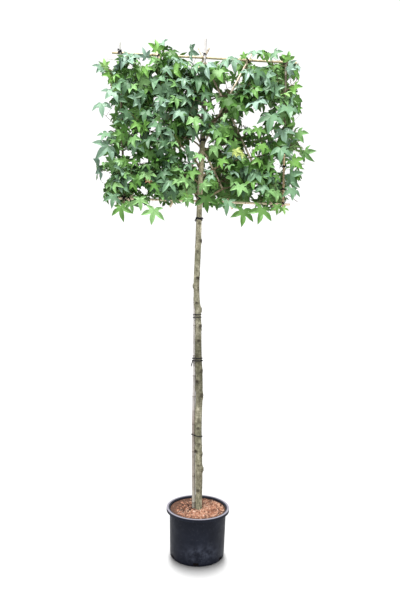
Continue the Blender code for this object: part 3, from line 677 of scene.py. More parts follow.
cane = {
    "radius": 0.0076, "spineRadius": 0.0070, "braceRadius": 0.0068,
    "spineDepth": 0.0245,
    "topHeight": 3.240, "lowHeight": 2.295,
    "topEnds": (-0.619, 0.602), "lowEnds": (-0.561, 0.575),
    "left": ((-0.519, 2.260), (-0.568, 3.300)),
    "right": ((0.524, 2.265), (0.525, 3.275)),
    "spine": (                  # height, sideways place, depth, radius
        (soilLevel + 2 * gap, -0.0258, 0.0180, 0.0118),
        (0.400, -0.0285, 0.0165, 0.0112),
        (0.480, -0.0316, 0.0150, 0.0103),
        (0.670, -0.0360, 0.0135, 0.0102),
        (0.900, -0.0402, 0.0130, 0.0104),
        (1.030, -0.0394, 0.0130, 0.0103),
        (1.147, -0.0412, 0.0160, 0.0098),
        (1.355, -0.0452, 0.0180, 0.0092),
        (1.485, -0.0460, 0.0205, 0.0090),
        (1.640, -0.0490, 0.0240, 0.0086),
        (1.900, -0.0475, 0.0262, 0.0078),
        (2.240, -0.0410, 0.0245, 0.0070),
        (2.700, -0.0288, 0.0245, 0.0070),
        (3.354, -0.0110, 0.0245, 0.0076),
    ),
    "spineRings": 30,
    "rings": 24, "sides": 14,
    "firstJoint": (0.02, 0.10), "jointSpacing": (0.13, 0.21),
    "jointRings": (-0.006, -0.0015, 0.0015, 0.006),
    "waist": 0.97,              # between its joints a cane is a little thinner
    "jointSwell": 1.16, "jointReach": 0.003, "jointShade": 0.0035,
    "cutEnd": (0.35, 0.05, -1.2),   # the hollow in a cut end, by the radius: rim, bevel and depth
    "looks": {"cane_spine": "spine", "cane_top": "bar", "cane_low": "low",
              "cane_left": "left", "cane_right": "right"},
}
cane["barDepth"] = cane["spineDepth"] + cane["spineRadius"] + gap + cane["radius"]
cane["uprightDepth"] = cane["barDepth"] - 2 * cane["radius"] - gap
cane["braceDepth"] = cane["barDepth"] + cane["radius"] + gap + cane["braceRadius"]
cane["backDepth"] = cane["braceDepth"] + 2 * cane["braceRadius"] + gap
cane["braces"] = (
    ("brace_right_up", cane["braceDepth"], (-0.222, 2.252), (0.306, 3.306)),
    ("brace_left_down", cane["braceDepth"], (-0.503, 2.262), (0.015, 3.314)),
    ("brace_right_down", cane["backDepth"], (0.482, 2.258), (-0.054, 3.317)),
    ("brace_left_up", cane["backDepth"], (0.194, 2.258), (-0.336, 3.281)),
)


def onFrame(end, depth):
    return Vector((end[0], depth, end[1]))


def spineAt(height):
    sideways, depth, radius = readStations(cane["spine"], height)
    return Vector((sideways, depth, height)), radius


def caneList():
    bar, upright = cane["barDepth"], cane["uprightDepth"]
    canes = {"cane_spine": ringsUp(cane["spine"], spineAt, cane["spineRings"])}
    for side in ("top", "low"):
        ends = [onFrame((x, cane[side + "Height"]), bar) for x in cane[side + "Ends"]]
        canes["cane_" + side] = (ends, [cane["radius"]] * 2)
    for side in ("left", "right"):
        canes["cane_" + side] = ([onFrame(end, upright) for end in cane[side]], [cane["radius"]] * 2)
    for name, depth, foot, head in cane["braces"]:
        canes[name] = ([onFrame(foot, depth), onFrame(head, depth)], [cane["braceRadius"]] * 2)
    return canes


# bamboo: a pale skin with dark joint rings, weathered in streaks along the cane
def makeBambooLook(name, pale, dark, stain, tall=None):
    look = newLook(name, pale, 0.5, 0.4)
    streaks = ramp(look, noise(look, placePattern(look), 55, 4, 0.6), ((0.35, dark), (0.62, pale)))
    blotches = ramp(look, noise(look, placePattern(look), 14, 3, 0.55),
                    ((0.50, (0, 0, 0)), (0.66, (1, 1, 1))))
    color = blend(look, multiply(look, blotches, 0.45), streaks, (*stain, 1))
    if tall:
        color = blend(look, 1.0, color, ramp(look, heightShare(look), tall), "MULTIPLY")
    ring = multiply(look, readMark(look, "joint"), 0.8, True)
    color = blend(look, ring, color, (stain[0] * 0.45, stain[1] * 0.42, stain[2] * 0.4, 1))
    wire(look, color, "Base Color")
    bump(look, noise(look, placePattern(look), 420, 3, 0.6), 0.25, 0.0006)
    return look


# rings along the cane: at its joints, beside them, and evenly between
def caneStops(length, joints):
    beside = {joint + step for joint in joints for step in cane["jointRings"] if 0 < joint + step < length}
    stops = sorted({0.0, length} | beside | set(spaced(0, length, cane["rings"])))
    return [stop for i, stop in enumerate(stops) if i == 0 or stop - stops[i - 1] > 0.0008]


def makeCane(name, points, radii, look, rng):
    length = lengthOf(points)
    joints = []
    along = rng.uniform(*cane["firstJoint"])
    while along < length - 0.01:
        joints.append(along)
        along += rng.uniform(*cane["jointSpacing"])
    stations = [0.0]
    for a, b in zip(points, points[1:]):
        stations.append(stations[-1] + (b - a).length)
    places, sizes = [], []
    for stop in caneStops(length, joints):
        piece = max(i for i in range(len(points) - 1) if stations[i] <= stop + 1e-9)
        share = min(1, (stop - stations[piece]) / (stations[piece + 1] - stations[piece]))
        places.append(points[piece].lerp(points[piece + 1], share))
        near = min(abs(stop - j) for j in joints)
        swell = (cane["jointSwell"] - 1) * math.exp(-(near / cane["jointReach"]) ** 2)
        radius = mix((radii[piece], radii[piece + 1]), share)
        sizes.append(radius * (cane["waist"] + swell))
    limb = growLimb("bamboo_" + name, places, sizes, cane["sides"])
    # the cut ends are hollow
    ends = [face.index for face in limb.data.polygons if len(face.vertices) > 4]
    selectOnly(limb)
    bpy.ops.object.mode_set(mode="EDIT")
    bpy.ops.mesh.select_mode(type="FACE")
    bpy.ops.mesh.select_all(action="DESELECT")
    bpy.ops.object.mode_set(mode="OBJECT")
    for index in ends:
        limb.data.polygons[index].select = True
    bpy.ops.object.mode_set(mode="EDIT")
    rim, bevel, deep = cane["cutEnd"]
    bpy.ops.mesh.inset(thickness=radius * rim, depth=0)
    bpy.ops.mesh.inset(thickness=radius * bevel, depth=radius * deep)
    bpy.ops.object.mode_set(mode="OBJECT")
    # how far along the cane each point lies, for the shade of its joints
    spots = pointsOf(limb)
    mark = np.zeros(len(spots))
    path = [np.array(p) for p in points]
    reached = np.zeros(len(spots))
    best = np.full(len(spots), 9.0)
    for index in range(len(path) - 1):
        way = path[index + 1] - path[index]
        t = np.clip((spots - path[index]) @ way / (way @ way), 0, 1)
        far = np.linalg.norm(spots - path[index] - t[:, None] * way, axis=1)
        closer = far < best
        best[closer] = far[closer]
        reached[closer] = (stations[index] + t * np.linalg.norm(way))[closer]
    for joint in joints:
        mark = np.maximum(mark, np.exp(-((reached - joint) / cane["jointShade"]) ** 2))
    markPoints(limb, "joint", mark)
    limb.data.materials.append(look)
    limb.data.shade_smooth()
    selectOnly(limb)
    bpy.ops.object.shade_smooth_by_angle(angle=math.radians(40))
    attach(limb, "root")
    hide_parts(name)


# pale, dark and stained colour, and what they are multiplied by at heights, as a share of 3.2 m
bambooTones = {
    "bar": ("strawBamboo", (0.54, 0.45, 0.29), (0.34, 0.28, 0.17), (0.16, 0.13, 0.07)),
    # the low bar's colours are painted pale: painted light that makes up for the crown's shade on it
    "low": ("shadedBamboo", (0.93, 0.79, 0.57), (0.64, 0.52, 0.36), (0.28, 0.22, 0.14)),
    # painted shade: the left upright is painted dark, as it stands in the crown's shade, and only near its
    # top, above the crown, is it multiplied back to a pale grey
    "left": ("darkBamboo", (0.19, 0.145, 0.085), (0.10, 0.078, 0.050), (0.060, 0.052, 0.030), (
        (0.965, (1, 1, 1)), (0.995, (2.0, 2.6, 4.0)))),
    "right": ("brownBamboo", (0.48, 0.40, 0.24), (0.28, 0.22, 0.13), (0.14, 0.12, 0.07), (
        (0.815, (1.75, 1.55, 1.60)), (0.850, (0.55, 0.52, 0.50)), (0.97, (0.32, 0.34, 0.36)))),
    # the braces' pale pink is their own colour lifted further by painted light, more so below 2.6 m, to
    # make up for the crown's shade on them
    "brace": ("pinkBamboo", (0.72, 0.61, 0.47), (0.50, 0.40, 0.29), (0.24, 0.18, 0.12), (
        (0.82, (1.35, 1.35, 1.30)), (0.88, (1, 1, 1)))),
    # from 1.5 m to 2.9 m the spine is painted paler and a little bluer: a painted sheen
    "spine": ("greyBamboo", (0.46, 0.43, 0.40), (0.33, 0.300, 0.275), (0.24, 0.20, 0.175), (
        (0.11, (0.96, 1.0, 0.92)), (0.15, (0.78, 0.75, 0.70)), (0.27, (0.62, 0.56, 0.53)),
        (0.31, (1.0, 1.02, 1.06)), (0.42, (0.95, 0.98, 1.02)), (0.47, (1.2, 1.24, 1.30)),
        (0.92, (1.2, 1.24, 1.30)), (0.97, (0.72, 0.74, 0.76)))),
}
bambooLooks = {kind: makeBambooLook(*tones) for kind, tones in bambooTones.items()}
caneSet = caneList()
caneRng = random.Random(3)
for name, (points, radii) in caneSet.items():
    makeCane(name, points, radii, bambooLooks[cane["looks"].get(name, "brace")], caneRng)
print("bamboo frame made of", len(caneSet), "canes")


# ties

tie = {
    "radius": 0.0030,
    "sides": 6,
    "corners": 16,
    # round trunk and spine: height, lean, turns, thickness, tails, the tail's way and length
    "trunkTies": (
        (0.762, -0.16, 1, 1.00, 1, (-1, -0.2, 0.2), 0.006),
        (1.249, 0.04, 1, 1.30, 1, (-0.35, -0.3, -1.8), 0.040),
        (1.265, 0.04, 1, 1.10, 0, (-0.9, -0.3, -0.4), 0.014),
        (1.530, 0.06, 1, 0.90, 1, (-1, -0.3, 0.1), 0.016),
        (1.548, 0.00, 1, 0.85, 0, (-1, 0, 0), 0.010),
        (2.168, -0.25, 2, 1.05, 1, (-1, -0.4, -0.8), 0.022),
    ),
    "forkHeight": 2.680,
    "shootHeights": (2.390, 2.540),
    "centreWidth": 0.10,
    "stemRings": 40,
    "barkClear": 0.0008,        # how far the bark stands proud under a tie
    "knotLumps": 3,
    "lump": ((-0.003, 0, -0.001), (-0.0015, -0.0005, 0), (0.0015, -0.0005, 0), (0.003, 0, 0.0012)),
    "lumpRadii": (0.0012, 0.0027, 0.0027, 0.0012),
    "rubber": ((0.35, (0.005, 0.005, 0.007)), (0.7, (0.016, 0.016, 0.018))),
}


# where a limb is cut at a height: its middle and the reach of the slanted cut
def section(points, radii, height):
    for index, (start, end) in enumerate(zip(points, points[1:])):
        if start.z <= height <= end.z:
            share = (height - start.z) / (end.z - start.z)
            where = start.lerp(end, share)
            radius = mix((radii[index], radii[index + 1]), share)
            return where.x, where.y, radius * (end - start).length / (end.z - start.z)
    raise ValueError(f"nothing stands at {height}")


# a taut band round what it holds, slanted by its lean, moved up or down a little for each turn
def tieLoop(held, height, lean=0, lift=0.0, slack=0.0):
    seat = tie["radius"] * 0.35 + slack
    corners = []
    for x, y, radius in held:
        for index in range(tie["corners"]):
            angle = (index + 0.5) * math.tau / tie["corners"]
            reach = radius + seat
            corners.append(Vector((x + reach * math.cos(angle), y + reach * math.sin(angle))))
    outline = [corners[index] for index in convex_hull_2d(corners)]
    middle = held[0][0]
    return [Vector((c.x, c.y, height + lift + lean * (c.x - middle))) for c in outline]


def makeTies():
    centres, radii = ringsUp(trunk["stations"], trunkAt, tie["stemRings"])
    stem = (centres, [radius + tie["barkClear"] for radius in radii])
    spine = caneSet["cane_spine"]
    rng = random.Random(11)
    gathered = Gathered()
    names = []

    def wrap(name, held, height, lean=0, turns=2, tails=2, tailWay=(-1, -0.4, -0.3), tailLength=0.018,
             cross=True, thick=1.0):
        thickness = tie["radius"] * thick
        names.append(name)
        loops = []
        for turn in range(turns):
            lift = (turn - (turns - 1) / 2) * tie["radius"] * 2.1
            loops.append(tieLoop(held, height, lean, lift, thickness - tie["radius"]))
            addRun(gathered, loops[-1], [thickness] * len(loops[-1]), tie["sides"], closed=True)
        if cross:
            other = tieLoop(held, height, -lean, 0, tie["radius"] * 2)
            addRun(gathered, other, [tie["radius"]] * len(other), tie["sides"], closed=True)
        knot = min(loops[0], key=lambda point: point.x + point.y * 0.5)
        knot = knot + Vector((0, -tie["radius"] * 1.2, 0))
        for lump in range(tie["knotLumps"]):
            where = knot + Vector([rng.uniform(-1, 1) * tie["radius"] * 0.8 for axis in range(3)])
            run = [where + Vector(step) for step in tie["lump"]]
            addRun(gathered, run, tie["lumpRadii"], tie["sides"])
        for tail in range(tails):
            way = (Vector(tailWay) + Vector([rng.uniform(-0.4, 0.4) for axis in range(3)])).normalized()
            if tail:
                way.x = -way.x
            run = [knot]
            for step in range(5):
                run.append(run[-1] + way * tailLength / 5)
                way = (way + Vector((0, 0, -0.12))).normalized()
            addRun(gathered, run, [thickness * 0.8] * len(run), tie["sides"])

    for index, (height, lean, turns, thick, tails, way, length) in enumerate(tie["trunkTies"]):
        held = (section(*stem, height), section(*spine, height))
        wrap(f"tie_trunk_{index + 1}", held, height, lean, turns, tails, way, length, turns > 1, thick)
    height = tie["forkHeight"]
    held = [section(*stem, height), section(*spine, height)]
    held += [section(*caneSet[name], height) for name in ("brace_right_up", "brace_left_up")]
    wrap("tie_fork", held, height, 0.15, 2, 2, (-1, -0.4, -0.5), 0.02, False, 0.8)
    height = cane["topHeight"] + cane["radius"] + gap + tie["radius"]
    held = [section(*spine, height)]
    held += [section(*caneSet[name], height) for name in ("brace_left_down", "brace_right_down")]
    wrap("tie_top_middle", held, height + 0.002, 0, 1, 2, (-1, -0.4, 0.5), 0.014, False, 0.8)
    height = cane["lowHeight"]
    held = [section(*stem, height), section(*spine, height)]
    held.append((held[0][0], cane["barDepth"], cane["radius"]))
    wrap("tie_low_trunk", held, height, 1, 2, 2, (1, -0.4, -0.5), 0.016)
    for index, height in enumerate(tie["shootHeights"]):
        held = [section(*caneSet["cane_right"], height)]
        wrap(f"tie_shoot_{index + 1}", held, height, 0, 2, 2, (-1, -0.4, 0.3), 0.024, False)
    for name, height in (("top", cane["topHeight"]), ("low", cane["lowHeight"])):
        for label, lean in (("left", 1), ("right", -1)):
            upright = section(*caneSet[f"cane_{label}"], height)
            bar = (upright[0], cane["barDepth"], cane["radius"])
            wrap(f"tie_{name}_{label}", (upright, bar), height, lean, 2, 2,
                 (-1, -0.5, -0.6), 0.012, True, 0.75)
        for label, depth, foot, head in cane["braces"]:
            brace = section(*caneSet[label], height)
            if abs(brace[0]) > tie["centreWidth"]:
                bar = (brace[0], cane["barDepth"], cane["radius"])
                lean = 1 if head[0] < foot[0] else -1
                wrap(f"tie_{name}_{label}", (bar, brace), height, lean, 2, 1,
                     (-1, -0.5, -0.6), 0.012, False, 0.75)
    look = newLook("blackRubber", (0.008, 0.008, 0.010), 0.6, 0.12)
    wire(look, ramp(look, noise(look, placePattern(look), 120, 3, 0.6), tie["rubber"]), "Base Color")
    piece = gathered.build("rubberTies", [look])
    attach(piece, "root")
    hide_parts(*names)
    return names


print("ties wound:", len(makeTies()))


# pot

pot = {
    "height": 0.302, "wall": 0.003, "floor": 0.004,
    "baseRadius": 0.174, "topRadius": 0.183, "rimRadius": 0.203,
    "sides": 120,
    "wallHeights": (0.026, 0.05, 0.09, 0.13, 0.17, 0.21, 0.25, 0.268, 0.276),
    "notches": 6, "notchTurn": -5.4, "notchSize": (0.034, 0.019), "notchLow": 0.004,
    "notchDepth": 0.016, "notchSoft": 0.0022,
    "lipHighlight": (0.2990, 0.011),     # where the lip's painted highlight lies: how high it starts and how wide it is
    "tone": ((0.3, (0.0032, 0.0044, 0.0098)), (0.7, (0.0085, 0.011, 0.020))),
    "scuff": (0.062, 0.070, 0.098, 1), "scuffPlace": (0.016, -0.175, 0.080), "scuffSize": (6.5, 6.5, 13),
    "dust": (0.35, 0.36, 0.40, 1), "dustShare": 0.6,
    "lipHighlightColor": (0.25, 0.24, 0.28, 1),
    "rough": ((0.3, (0.40, 0.40, 0.40)), (0.75, (0.58, 0.58, 0.58))),
}


def makePotLook():
    look = newLook("blackPlastic", (0.004, 0.005, 0.010), 0.48, 0.13)
    place = placePattern(look)
    tone = ramp(look, noise(look, place, 9, 4, 0.6), pot["tone"])
    # pale cloudy scuffs low on the front, and fine dust all over
    scuffPlace = placePattern(look, pot["scuffSize"], pot["scuffPlace"])
    ball = addNode(look, "ShaderNodeTexGradient", {"gradient_type": "SPHERICAL"}, Vector=scuffPlace)
    cloud = ramp(look, noise(look, place, 30, 5, 0.65), ((0.40, (0, 0, 0)), (0.72, (1, 1, 1))))
    color = blend(look, multiply(look, ball.outputs["Fac"], cloud), tone, pot["scuff"])
    specks = ramp(look, noise(look, place, 340, 2, 0.5), ((0.705, (0, 0, 0)), (0.745, (1, 1, 1))))
    color = blend(look, multiply(look, specks, pot["dustShare"]), color, pot["dust"])
    # the lip's top is painted pale grey: a painted highlight where the rolled rim catches the bright
    # surroundings
    color = blend(look, readMark(look, "lipHighlight"), color, pot["lipHighlightColor"])
    wire(look, color, "Base Color")
    wire(look, ramp(look, noise(look, place, 22, 4, 0.6), pot["rough"]), "Roughness")
    bump(look, noise(look, placePattern(look, (1, 1, 0.35)), 70, 4, 0.65), 0.22, 0.0012)
    return look


# the wall's section as radius and height: the foot, the wall, the rolled rim, then down inside
def potProfile():
    top, base, rim, height = pot["topRadius"], pot["baseRadius"], pot["rimRadius"], pot["height"]
    foot = [(base - 0.0075, 0), (base - 0.0030, 0.0012), (base - 0.0006, 0.0045), (base, 0.010)]
    wall = [(mix((base, top), h / height), h) for h in pot["wallHeights"]]
    neck = [(top + 0.0008, 0.2795), (top + 0.0008, 0.2965)]
    roll = [
        (rim - 0.0045, 0.2965), (rim - 0.0036, 0.2955), (rim - 0.0036, 0.2828), (rim - 0.0030, 0.2820),
        (rim - 0.0008, 0.2820), (rim, 0.2828), (rim, 0.2985), (rim - 0.0007, 0.3008),
        (rim - 0.0022, height), (rim - 0.0065, height), (rim - 0.0095, 0.3012),
        (rim - 0.0155, 0.2996), (top - 0.0005, 0.2975)]
    inside = [
        (top - pot["wall"], 0.2945), (mix((base, top), 0.92) - pot["wall"], 0.275),
        (base - pot["wall"] + 0.002, 0.02), (base - 0.02, pot["floor"])]
    return foot + wall + neck + roll + inside


# a soft-edged block that cuts one drain notch
def makeCutter(turn):
    wide, tall = pot["notchSize"]
    place = (math.sin(turn) * pot["baseRadius"], -math.cos(turn) * pot["baseRadius"],
             pot["notchLow"] + tall / 2)
    deselectAll()
    bpy.ops.mesh.primitive_cube_add(
        size=1, location=place, rotation=(0, 0, turn), scale=(wide, pot["notchDepth"], tall))
    cutter = bpy.context.object
    bpy.ops.object.transform_apply(location=True, rotation=True, scale=True)
    softened = cutter.modifiers.new("soft", "BEVEL")
    softened.width = pot["notchSoft"]
    softened.segments = 3
    applyAll(cutter)
    return cutter


def makePot():
    profile = potProfile()
    deselectAll()
    bpy.ops.mesh.primitive_circle_add(vertices=pot["sides"], radius=profile[0][0], fill_type="NGON")
    piece = bpy.context.object
    piece.name = piece.data.name = "nurseryPot"
    bpy.ops.object.mode_set(mode="EDIT")
    bpy.ops.mesh.select_all(action="SELECT")
    bpy.ops.mesh.normals_make_consistent(inside=False)
    for before, after in zip(profile, profile[1:]):
        bpy.ops.mesh.extrude_region_move(TRANSFORM_OT_translate={"value": (0, 0, after[1] - before[1])})
        size = after[0] / before[0]
        bpy.ops.transform.resize(value=(size, size, 1), center_override=(0, 0, after[1]))
    bpy.ops.mesh.select_all(action="SELECT")
    bpy.ops.mesh.normals_make_consistent(inside=False)
    bpy.ops.object.mode_set(mode="OBJECT")
    cutters = []
    for index in range(pot["notches"]):
        cutter = makeCutter(math.tau * index / pot["notches"] + math.radians(pot["notchTurn"]))
        cutters.append(cutter)
        cut = piece.modifiers.new("notch", "BOOLEAN")
        cut.operation = "DIFFERENCE"
        cut.object = cutter
    applyAll(piece)
    for cutter in cutters:
        bpy.data.objects.remove(cutter, do_unlink=True)
    spots = pointsOf(piece)
    around = np.hypot(spots[:, 0], spots[:, 1])
    # mark the points that get the painted highlight on the lip
    low, wide = pot["lipHighlight"]
    markPoints(piece, "lipHighlight", ((spots[:, 2] > low) & (around > pot["rimRadius"] - wide)).astype(float))
    piece.data.materials.append(makePotLook())
    selectOnly(piece)
    bpy.ops.object.shade_smooth_by_angle(angle=math.radians(35))
    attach(piece, "root")
    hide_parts("pot")


makePot()
print("pot turned")


# bark mulch

mulch = {
    "chips": 2500,
    "reach": 0.173,
    "sizes": ((0.008, 0.023), (0.005, 0.012), (0.0025, 0.006)),   # length, width, thickness
    "colors": (
        (0.45, 0.222, 0.145), (0.56, 0.335, 0.228), (0.35, 0.155, 0.090), (0.21, 0.100, 0.064),
        (0.66, 0.45, 0.35), (0.07, 0.036, 0.026)),
    "shares": (34, 26, 18, 11, 7, 4),
    "darkPatch": (-0.070, 0.020, 0.092),   # darker chips left of the trunk: place and reach
    "darkShares": (8, 3, 14, 28, 2, 45),
    "darker": 0.62,             # a chip's colour in its grooves
    "ragged": (0.25, 0.45, 0.0012),     # how uneven a chip's ends, sides and faces are
    "tilts": (0.38, 0.30),
    "lift": (-0.002, 0.003),
    "smallNear": (0.045, 0.7),  # chips near the trunk are smaller: how near, how small
    "soil": ((0.3, (0.03, 0.018, 0.013)), (0.7, (0.17, 0.085, 0.055))),
}


# the bed's level under a chip: softly heaped, falling off to the wall
def bedLevel(x, y, far):
    heap = 0.004 * math.sin(9 * x + 2) * math.cos(14 * y + 1) + 0.004 * (x + 0.5 * y) / 0.18
    return soilLevel + 0.0032 + heap * 0.7 - 0.0045 * max(0, far - 0.12) / 0.05


def makeMulch():
    rng = random.Random(23)
    bed = newLook("darkSoil", (0.07, 0.040, 0.028), 0.95, 0.2)
    # painted shade: below 0.24 to 0.27 m the bed is turned almost black, so that it shows dark through the
    # pot's drain notches
    low = ramp(bed, addNode(bed, "ShaderNodeSeparateXYZ", Vector=placePattern(bed)).outputs["Z"],
               ((0.24, (0.04, 0.04, 0.05)), (0.27, (1, 1, 1))))
    tone = ramp(bed, noise(bed, placePattern(bed), 90, 4, 0.7), mulch["soil"])
    wire(bed, blend(bed, 1.0, tone, low, "MULTIPLY"), "Base Color")
    bump(bed, noise(bed, placePattern(bed), 150, 4, 0.7), 1.0, 0.004)
    looks = []
    for index, color in enumerate(mulch["colors"]):
        look = newLook(f"barkChip{index + 1}", color, 0.85, 0.25)
        darker = tuple(c * mulch["darker"] for c in color)
        tone = ramp(look, noise(look, placePattern(look), 210, 4, 0.7), ((0.32, darker), (0.66, color)))
        wire(look, tone, "Base Color")
        bump(look, noise(look, placePattern(look), 380, 3, 0.7), 0.6, 0.0015)
        looks.append(look)
    gathered = Gathered()
    boxFaces = [(0, 3, 2, 1), (4, 5, 6, 7), (0, 1, 5, 4), (1, 2, 6, 5), (2, 3, 7, 6), (3, 0, 4, 7)]
    corners = np.array([(x, y, z) for z in (-1, 1) for x, y in ((-1, -1), (1, -1), (1, 1), (-1, 1))]) * 0.5
    for index in range(mulch["chips"]):
        far = mulch["reach"] * math.sqrt(rng.uniform(0.022, 1))
        angle = rng.uniform(0, math.tau)
        x, y = far * math.cos(angle), far * math.sin(angle)
        level = bedLevel(x, y, far) + rng.uniform(*mulch["lift"])
        size = [rng.uniform(*ends) for ends in mulch["sizes"]]
        if far < mulch["smallNear"][0]:
            size = [s * mulch["smallNear"][1] for s in size]
        shape = corners * np.array(size)
        ends, sides, thick = [share * np.array([rng.uniform(-1, 1) for c in range(8)])
                              for share in mulch["ragged"]]
        shape[:, 0] *= 1 + ends
        shape[:, 1] *= 1 + sides
        shape[:, 2] += thick
        turn = Matrix.Rotation(rng.uniform(0, math.tau), 3, "Z")
        for axis, tilt in zip("XY", mulch["tilts"]):
            turn = turn @ Matrix.Rotation(rng.gauss(0, tilt), 3, axis)
        shape = shape @ np.array(turn).T + np.array((x, y, level))
        if math.hypot(x, y) + size[0] * 0.5 > mulch["reach"] + 0.004:
            continue
        dark = mulch["darkPatch"]
        patchy = math.hypot(x - dark[0], y - dark[1]) < dark[2] * rng.uniform(0.5, 1.15)
        look = rng.choices(range(len(looks)), mulch["darkShares"] if patchy else mulch["shares"])[0]
        gathered.add(shape, boxFaces, look)
    piece = gathered.build("barkChips", looks, smooth=False)
    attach(piece, "root")
    node = frame["nodes"]["bark_mulch"]
    node.data.materials.clear()
    node.data.materials.append(bed)


makeMulch()
print("bark mulch strewn")


# leaves

leaf = {
    "lobes": ((0, 1.00), (57, 0.93), (114, 0.64), (-114, 0.64), (-57, 0.93)),   # heading, reach
    # half of a lobe (along it, aside), and the notches' reach beside the middle lobe and the next
    "kinds": {
        "broad": {"edge": ((0.50, 0.228), (0.69, 0.182), (0.87, 0.082)), "notch": (0.42, 0.37)},
        "deep": {"edge": ((0.48, 0.178), (0.68, 0.152), (0.86, 0.070)), "notch": (0.32, 0.28)},
    },
    "heel": ((150, 0.25), (170, 0.10)),
    "midrib": 0.55,
    "fold": 0.62,               # how steeply a lobe rises beside its midrib
    "cup": (0.02, 0.46),        # how far the tips hang
    "cupPower": 1.7,
    "bend": 0.26,
    "sizes": (0.046, 0.092),
    "stalk": (0.030, 0.105),
    "stalkShares": (0, 0.35, 0.7, 1), "stalkRadii": (0.0011, 0.0009, 0.0008, 0.0008),
    "stalkSag": 0.10,
    "thickness": 0.0006,
    "veinLift": 0.0005, "veinWidth": 0.007, "veinTaper": 0.7,
    "plainLooks": ("deep", "deepTeal", "grass"),    # too dark for their veins to show
}


# half a lobe's edge from its notch out to its tip, as places across and along the blade
def lobeEdge(kind, heading, reach, side):
    turned, straight = math.sin(math.radians(heading)), math.cos(math.radians(heading))
    points = []
    for along, aside in leaf["kinds"][kind]["edge"]:
        x, y = side * aside * reach, along * reach
        points.append((x * straight + y * turned, y * straight - x * turned))
    return points


# the blade as points (across, along), faces, and which lobe each point belongs to
def leafShape(kind):
    points, owners, rise = [(0, 0)], [0], [0.0]

    def put(x, y, owner, height):
        points.append((x, y))
        owners.append(owner)
        rise.append(height)
        return len(points) - 1

    def at(degrees, reach):
        angle = math.radians(degrees)
        return math.sin(angle) * reach, math.cos(angle) * reach

    tips, middles, rims = [], [], []
    for owner, (heading, reach) in enumerate(leaf["lobes"]):
        sides = []
        for side in (-1, 1):
            heights = [leaf["fold"] * aside * reach for along, aside in leaf["kinds"][kind]["edge"]]
            places = lobeEdge(kind, heading, reach, side)
            sides.append([put(*place, owner, height) for place, height in zip(places, heights)])
        tips.append(put(*at(heading, reach), owner, 0))
        middles.append(put(*at(heading, reach * leaf["midrib"]), owner, 0))
        rims.append(sides)
    near, far = leaf["kinds"][kind]["notch"]
    heel, foot = leaf["heel"]
    notches = [put(*at(turn, reach), owner, 0.02)
               for turn, reach, owner in ((-85, far, 4), (-28, near, 4), (28, near, 1), (85, far, 1))]
    heels = [put(*at(side * heel[0], heel[1]), owner, 0.03) for side, owner in ((-1, 3), (1, 2))]
    feet = [put(*at(side * foot[0], foot[1]), owner, 0.0) for side, owner in ((-1, 3), (1, 2))]
    bounds = ((notches[1], notches[2]), (notches[2], notches[3]), (notches[3], heels[1]),
              (heels[0], notches[0]), (notches[0], notches[1]))
    faces = []
    for owner, (left, right) in enumerate(rims):
        before, after = bounds[owner]
        chain = [before, *left, tips[owner], *reversed(right), after]
        faces += [(middles[owner], b, a) for a, b in zip(chain, chain[1:])]
        faces += [(0, middles[owner], before), (0, after, middles[owner])]
    faces += [(0, feet[1], heels[1]), (0, heels[0], feet[0]), (0, feet[0], feet[1])]
    return np.array(points), faces, np.array(owners), np.array(rise), tips, middles


leafShapes = {kind: leafShape(kind) for kind in leaf["kinds"]}
leafPoints = {kind: shape[0] for kind, shape in leafShapes.items()}
leafRise = {kind: shape[3] for kind, shape in leafShapes.items()}
leafFaces, leafOwner = leafShapes["broad"][1], leafShapes["broad"][2]
leafTips, leafMiddles = leafShapes["broad"][4], leafShapes["broad"][5]
leafCorners = np.array(leafFaces)


def lobeBends(rng):
    return np.array([rng.uniform(-leaf["bend"], leaf["bend"]) for lobe in leaf["lobes"]])


# one blade in place: its kind, size, how its tips hang and each lobe's own bend
def bladePoints(kind, base, tipWay, normal, size, cup, bends):
    points = leafPoints[kind]
    across = tipWay.cross(normal)
    reach = np.hypot(points[:, 0], points[:, 1])
    lift = leafRise[kind] + (bends[leafOwner] - cup) * reach ** leaf["cupPower"]
    local = np.column_stack([points[:, 0], points[:, 1], lift]) * size
    axes = np.array([tuple(across), tuple(tipWay), tuple(normal)])
    return local @ axes + np.array(base)


# plain leaf colours; the two pale blue greens are a painted sheen of the sky on leaves that look up
leafLooks = {
    "paleBlue": (0.185, 0.284, 0.222),
    "blue": (0.150, 0.246, 0.170),
    "teal": (0.118, 0.221, 0.123),
    "deepTeal": (0.068, 0.142, 0.068),
    "light": (0.180, 0.340, 0.122),
    "mid": (0.130, 0.266, 0.086),
    "green": (0.097, 0.220, 0.046),
    "grass": (0.068, 0.172, 0.030),
    "deep": (0.036, 0.100, 0.014),
    "fresh": (0.118, 0.264, 0.050),
    "young": (0.200, 0.362, 0.108),
    "turning": (0.314, 0.380, 0.114),
    "red": (0.157, 0.077, 0.036),
}
fineLooks = {               # colour and roughness
    "leafUndersides": ((0.110, 0.230, 0.060), 0.6),
    "leafVeins": ((0.150, 0.270, 0.105), 0.5),
    "leafStalks": ((0.170, 0.160, 0.060), 0.5),
    "twigs": ((0.100, 0.070, 0.045), 0.75),
}

